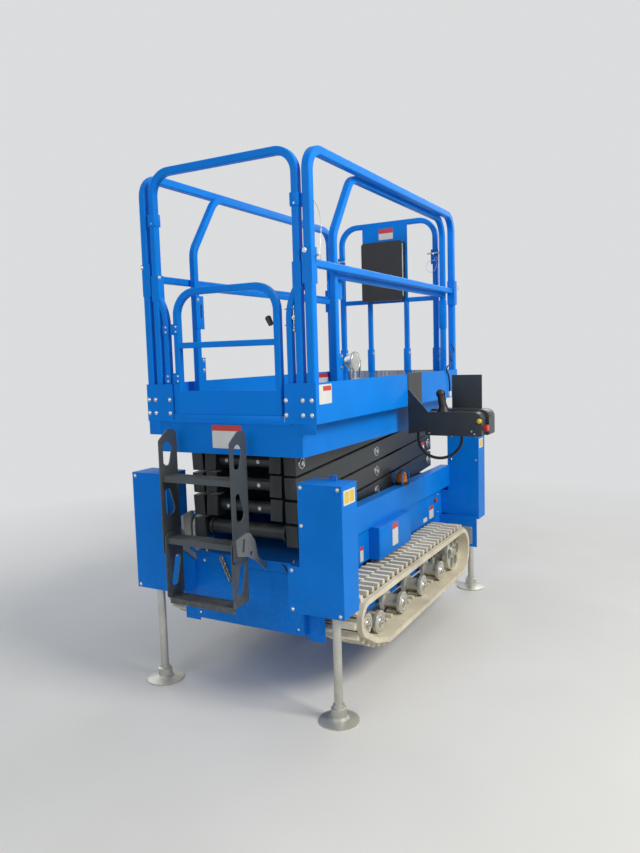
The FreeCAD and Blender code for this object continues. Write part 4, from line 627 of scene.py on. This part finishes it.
for side_name, side in SIDES:
    inner, outer = sorted((side * 0.3625, side * 0.3665))
    far, low, high = (-0.610, 1.804, 1.938) if side > 0 else (-0.682, 1.700, 1.862)
    bm = bmesh.new()
    block(bm, (inner, -0.742, low), (outer, far, high), 0.001)
    near, wide = sorted((side * 0.3640, side * 0.4000))
    block(bm, (near, 0.724, 1.700), (wide, 0.760, 1.870), 0.0015)
    for x, half in ((side * 0.127, 0.018), (side * 0.324, 0.020)):
        block(bm, (x - half, 0.7655, 1.440), (x + half, 0.8005, 1.585), 0.001)
    block(bm, (side * 0.324 - 0.024, 0.7640, 2.100), (side * 0.324 + 0.024, 0.7690, 2.190), 0.001)
    piece(f"roll_out_brackets_{side_name}", "roll_out_deck", "rail", bm)
    bm = bmesh.new()
    cylinder(bm, (side * 0.324, 0.7695, 2.160), FRONT, 0.0055, 0.030, 16)
    cylinder(bm, (side * 0.324 - 0.034, 0.7440, 2.163), X, 0.0045, 0.068, 14)
    dome(bm, (side * 0.324 - 0.034, 0.7440, 2.163), -X, 0.0065)
    dome(bm, (side * 0.324 + 0.034, 0.7440, 2.163), X, 0.0065)
    ring(bm, (side * 0.324 + 0.012, 0.7600, 2.128), (0.2, 1, 0), 0.011, 0.0018, 20, 8)
    piece(f"end_rail_pin_{side_name}", "roll_out_deck", "zinc", bm)
    if side > 0:
        line("end_rail_wire", "roll_out_deck", "zinc",
             [(0.336, 0.7620, 2.116), (0.300, 0.7600, 2.130), (0.268, 0.7580, 2.095), (0.280, 0.7580, 2.052),
              (0.318, 0.7600, 2.050), (0.338, 0.7620, 2.080), (0.342, 0.7620, 2.112)], 0.0014)
    else:
        # a thin black sheet where the bracket's slot is: painted shade of the opening
        bm = bmesh.new()
        block(bm, (-0.3630, -0.710, 1.756), (-0.3618, -0.698, 1.820), 0.0004, 1)
        piece("bracket_slot_shade", "roll_out_deck", "plastic", bm)
# a thin pale strip along the document box's edge: painted highlight
bm = bmesh.new()
block(bm, (0.1295, 0.7100, 1.915), (0.1315, 0.7240, 2.240), 0.0008)
piece("document_box_edge_highlight", "roll_out_deck", "pale", bm)

# Threshold under the gate, wing under the left corner plate, seams and lips of the sheet metal

bm = bmesh.new()
block(bm, (-0.291, -1.0275, 1.2775), (0.291, -1.0240, 1.3090), 0.001)
piece("gate_threshold", "platform", "rail", bm)
bm = bmesh.new()
block(bm, (-0.441, -1.027, 1.214), (-0.372, -1.0235, 1.280), 0.001)
block(bm, (0.372, -1.027, 1.235), (0.441, -1.0235, 1.280), 0.001)
piece("corner_wings", "platform", "blue", bm)
bm = bmesh.new()
block(bm, (-0.300, -0.9335, 0.640), (0.300, -0.9275, 0.652), 0.0015)
block(bm, (-0.296, -0.9305, 0.345), (0.296, -0.9275, 0.600), 0.0015)
block(bm, (-0.296, 0.9275, 0.345), (0.296, 0.9305, 0.600), 0.0015)
piece("tub_panels", "chassis", "blue", bm)
for side_name, side in SIDES:
    bm = bmesh.new()
    for start, end, low, high in ((-0.752, -0.338, 0.528, 0.680), (0.108, 0.520, 0.528, 0.680), (0.535, 0.752, 0.528, 0.612)):
        inner, outer = sorted((side * 0.3395, side * 0.3420))
        block(bm, (inner, start, low), (outer, end, high), 0.001)
    inner, outer = sorted((side * 0.3995, side * 0.4015))
    block(bm, (inner, -0.322, 0.530), (outer, 0.092, 0.678), 0.001)
    piece(f"cabinet_doors_{side_name}", "chassis", "blue", bm)
    bm = bmesh.new()
    cylinder(bm, (side * 0.3395, 0.662, 0.634), (side, 0, 0), 0.007, 0.008, 18)
    cylinder(bm, (side * 0.3470, 0.662, 0.634), (side, 0, 0), 0.0125, 0.008, 24, 0.011)
    dome(bm, (side * 0.3548, 0.662, 0.634), (side, 0, 0), 0.011, 0.35)
    piece(f"isolator_knob_{side_name}", "chassis", "red", bm)

# Lids of the stabiliser boxes and rims of the jacks

for end_name, end in ENDS:
    for side_name, side in SIDES:
        bm = bmesh.new()
        near, far = sorted((side * 0.348, side * 0.555))
        start, finish_ = sorted((end * 0.8975, end * 1.0388))
        block(bm, (near, start, 1.0265), (far, finish_, 1.0325), 0.0015)
        piece(f"box_lid_{end_name}_{side_name}", "chassis", "blue", bm)
        bm = bmesh.new()
        ring(bm, (side * 0.478, end * 0.965, 0.4745), Z, 0.024, 0.004)
        cylinder(bm, (side * 0.478, end * 0.965, 0.4685), UP, 0.034, 0.0075, 32, 0.036)
        piece(f"rod_seal_{end_name}_{side_name}", "chassis", "plastic", bm)

# Beacon with its guard

bm = bmesh.new()
cylinder(bm, (0.330, 0.150, 0.8205), UP, 0.040, 0.012, 40, 0.038)
cylinder(bm, (0.330, 0.150, 0.8320), UP, 0.034, 0.006, 40, 0.032)
piece("beacon_base", "chassis", "plastic", bm)
bm = bmesh.new()
cylinder(bm, (0.330, 0.150, 0.8370), UP, 0.0315, 0.036, 48, 0.029)
dome(bm, (0.330, 0.150, 0.8728), UP, 0.029, 0.8, 32)
beacon = piece("beacon_lens", "chassis", "amber", bm, 60)
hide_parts("beacon")
for turn in (0, 90):
    across = Vector((math.cos(math.radians(turn + 25)), math.sin(math.radians(turn + 25)), 0)) * 0.042
    centre = Vector((0.330, 0.150, 0))
    points = [centre - across + Z * 0.820, centre - across + Z * 0.890, centre - across * 0.7 + Z * 0.904,
              centre + across * 0.7 + Z * 0.904, centre + across + Z * 0.890, centre + across + Z * 0.820]
    line(f"beacon_guard_{turn}", "chassis", "rail", points, 0.0035)

# Work lamp: rim, lens and yoke

bm = bmesh.new()
ring(bm, (0.4395, -0.640, 1.525), X, 0.0425, 0.0030, 40)
for index in range(6):
    ring(bm, (0.4020 + 0.004 * index, -0.640, 1.525), X, 0.0245 + 0.0021 * index, 0.0018, 32)
block(bm, (0.428, -0.664, 1.440), (0.444, -0.616, 1.446), 0.001)
block(bm, (0.430, -0.690, 1.446), (0.442, -0.686, 1.532), 0.001)
block(bm, (0.430, -0.594, 1.446), (0.442, -0.590, 1.532), 0.001)
block(bm, (0.430, -0.690, 1.446), (0.442, -0.590, 1.450), 0.001)
bolt(bm, (0.436, -0.690, 1.525), FRONT, 0.008, "hex")
bolt(bm, (0.436, -0.590, 1.525), REAR, 0.008, "hex")
piece("lamp_fittings", "platform", "zinc", bm)
bm = bmesh.new()
dome(bm, (0.4412, -0.640, 1.525), X, 0.0395, 0.09, 40)
piece("lamp_glass", "platform", "glass", bm, 60)

# Console: bellows and yellow button

bm = bmesh.new()
for index in range(5):
    ring(bm, (0.6255, 0.017, 1.2500 + 0.0085 * index), Z, 0.0235 - 0.0028 * index, 0.0052)
piece("joystick_bellows", "platform", "plastic", bm)
bm = bmesh.new()
cylinder(bm, (0.828, -0.0235, 1.204), FRONT, 0.0095, 0.010, 24)
cylinder(bm, (0.828, -0.0330, 1.204), FRONT, 0.0125, 0.007, 24, 0.0115)
dome(bm, (0.828, -0.0398, 1.204), FRONT, 0.0115, 0.3)
piece("yellow_button", "platform", "yellow", bm)

# Ladder: tread ridges on the rungs, hook with short chain

bm = bmesh.new()
for height, start, end, body in ((1.0450, -0.275, 0.098, "chassis"),):
    for index in range(6):
        along = -1.140 + 0.011 * index
        block(bm, (start + 0.01, along, height - 0.0003), (end - 0.01, along + 0.004, height + 0.0016), 0.0006, 1)
piece("rung_ridges_upper", "chassis", "ladder", bm)
bm = bmesh.new()
for height in (0.768, 0.496):
    for index in range(6):
        along = -1.140 + 0.011 * index
        block(bm, (-0.255, along, height - 0.0003), (0.078, along + 0.004, height + 0.0016), 0.0006, 1)
piece("rung_ridges_lower", "ladder_lower", "ladder", bm)
bm = bmesh.new()
for index in range(8):
    axis = Vector((1, 0, 0.4)) if index % 2 else Vector((0.15, 1, 0))
    ring(bm, (-0.125 + 0.0062 * index, -0.9440, 0.636 - 0.0133 * index), axis, 0.0092, 0.0026, 16, 8)
piece("latch_chain", "chassis", "brass", bm)
line("tub_pipe", "chassis", "plastic", [(0.195, -0.9335, 0.645), (0.218, -0.9345, 0.628), (0.232, -0.9345, 0.590),
                                        (0.234, -0.9325, 0.540), (0.234, -0.9290, 0.520)], 0.0035)
line("hook_rod", "platform", "plastic", [(0.452, 0.690, 1.600), (0.453, 0.768, 1.556), (0.453, 0.640, 1.530),
                                         (0.453, 0.712, 1.490), (0.452, 0.565, 1.462), (0.452, 0.655, 1.400),
                                         (0.452, 0.650, 1.315)], 0.0042)

bm = bmesh.new()
block(bm, (0.446, 0.636, 1.284), (0.458, 0.664, 1.316), 0.002)
piece("hook_tag", "platform", "white", bm)

# Console cable

CABLE = [
    (0.710, 0.060, 1.124), (0.710, 0.060, 1.083), (0.692, 0.054, 1.044), (0.659, 0.046, 1.014),
    (0.616, 0.038, 0.998), (0.570, 0.034, 0.998), (0.527, 0.034, 1.014), (0.494, 0.036, 1.044),
    (0.476, 0.038, 1.083), (0.476, 0.038, 1.140),
]
cable = line("console_cord", "platform", "cable", CABLE, 0.008)
cable.data.resolution_u = 12
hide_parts("console_cable")

# Floor, backdrop and light

floor_mesh = bmesh.new()
bmesh.ops.create_grid(floor_mesh, x_segments=1, y_segments=1, size=30)
mesh = bpy.data.meshes.new("floor")
floor_mesh.to_mesh(mesh)
floor_mesh.free()
floor = bpy.data.objects.new("floor", mesh)
bpy.context.scene.collection.objects.link(floor)
floor_material, tree, shader, place = new_material("floor")
tree.links.new(mix(tree, between(tree, noise(tree, place, 1.5), 0.3, 0.7), shade("D9D9D6"), shade("DEDEDC")),
               shader.inputs["Base Color"])
shader.inputs["Roughness"].default_value = 0.85
path = add(tree, "ShaderNodeLightPath")
seen = number(tree, "MAXIMUM", number(tree, "MAXIMUM", path.outputs["Is Camera Ray"], path.outputs["Is Glossy Ray"]),
              path.outputs["Is Transmission Ray"])
away = add(tree, "ShaderNodeVectorMath", links={0: place}, operation="LENGTH").outputs["Value"]
pale = add(tree, "ShaderNodeEmission", {"Color": shade("E6E7E8"), "Strength": 0.9})
output = next(node for node in tree.nodes if node.type == "OUTPUT_MATERIAL")
faded = add(tree, "ShaderNodeMixShader", links={0: number(tree, "MULTIPLY", seen, between(tree, away, 2.0, 5.0)),
                                                1: shader.outputs[0], 2: pale.outputs[0]})
tree.links.new(faded.outputs[0], output.inputs["Surface"])
mesh.materials.append(floor_material)

world = bpy.data.worlds.new("studio")
bpy.context.scene.world = world
world.use_nodes = True
tree = world.node_tree
tree.nodes.clear()
path = add(tree, "ShaderNodeLightPath")
seen = number(tree, "MAXIMUM", number(tree, "MAXIMUM", path.outputs["Is Camera Ray"], path.outputs["Is Glossy Ray"]),
              path.outputs["Is Transmission Ray"])
soft = add(tree, "ShaderNodeBackground", {"Color": shade("E9EEF4"), "Strength": 0.34})
shown = add(tree, "ShaderNodeBackground", {"Color": shade("E6E7E8"), "Strength": 0.9})
both = add(tree, "ShaderNodeMixShader", links={0: seen, 1: soft.outputs[0], 2: shown.outputs[0]})
add(tree, "ShaderNodeOutputWorld", links={"Surface": both.outputs[0]})

# name, place, power, size, colour
LIGHTS = [
    ("key", (5.0, -1.2, 4.4), 285, 2.2, "FFFAF0"),
    ("front", (-0.8, -5.6, 3.2), 62, 3.2, "F4F7FF"),
    ("left", (-4.8, 0.5, 3.2), 60, 3.0, "F4F7FF"),
    ("back", (0.5, 5.2, 4.0), 80, 3.0, "FFFFFF"),
]
for name, place, power, size, colour in LIGHTS:
    light = bpy.data.lights.new(name, "AREA")
    light.energy = power
    light.size = size
    light.color = shade(colour)[:3]
    lamp = bpy.data.objects.new(name, light)
    bpy.context.scene.collection.objects.link(lamp)
    lamp.location = place
    lamp.rotation_euler = (Vector((0, 0, 1.0)) - Vector(place)).to_track_quat("-Z", "Y").to_euler()

bpy.context.scene.view_settings.view_transform = "Standard"
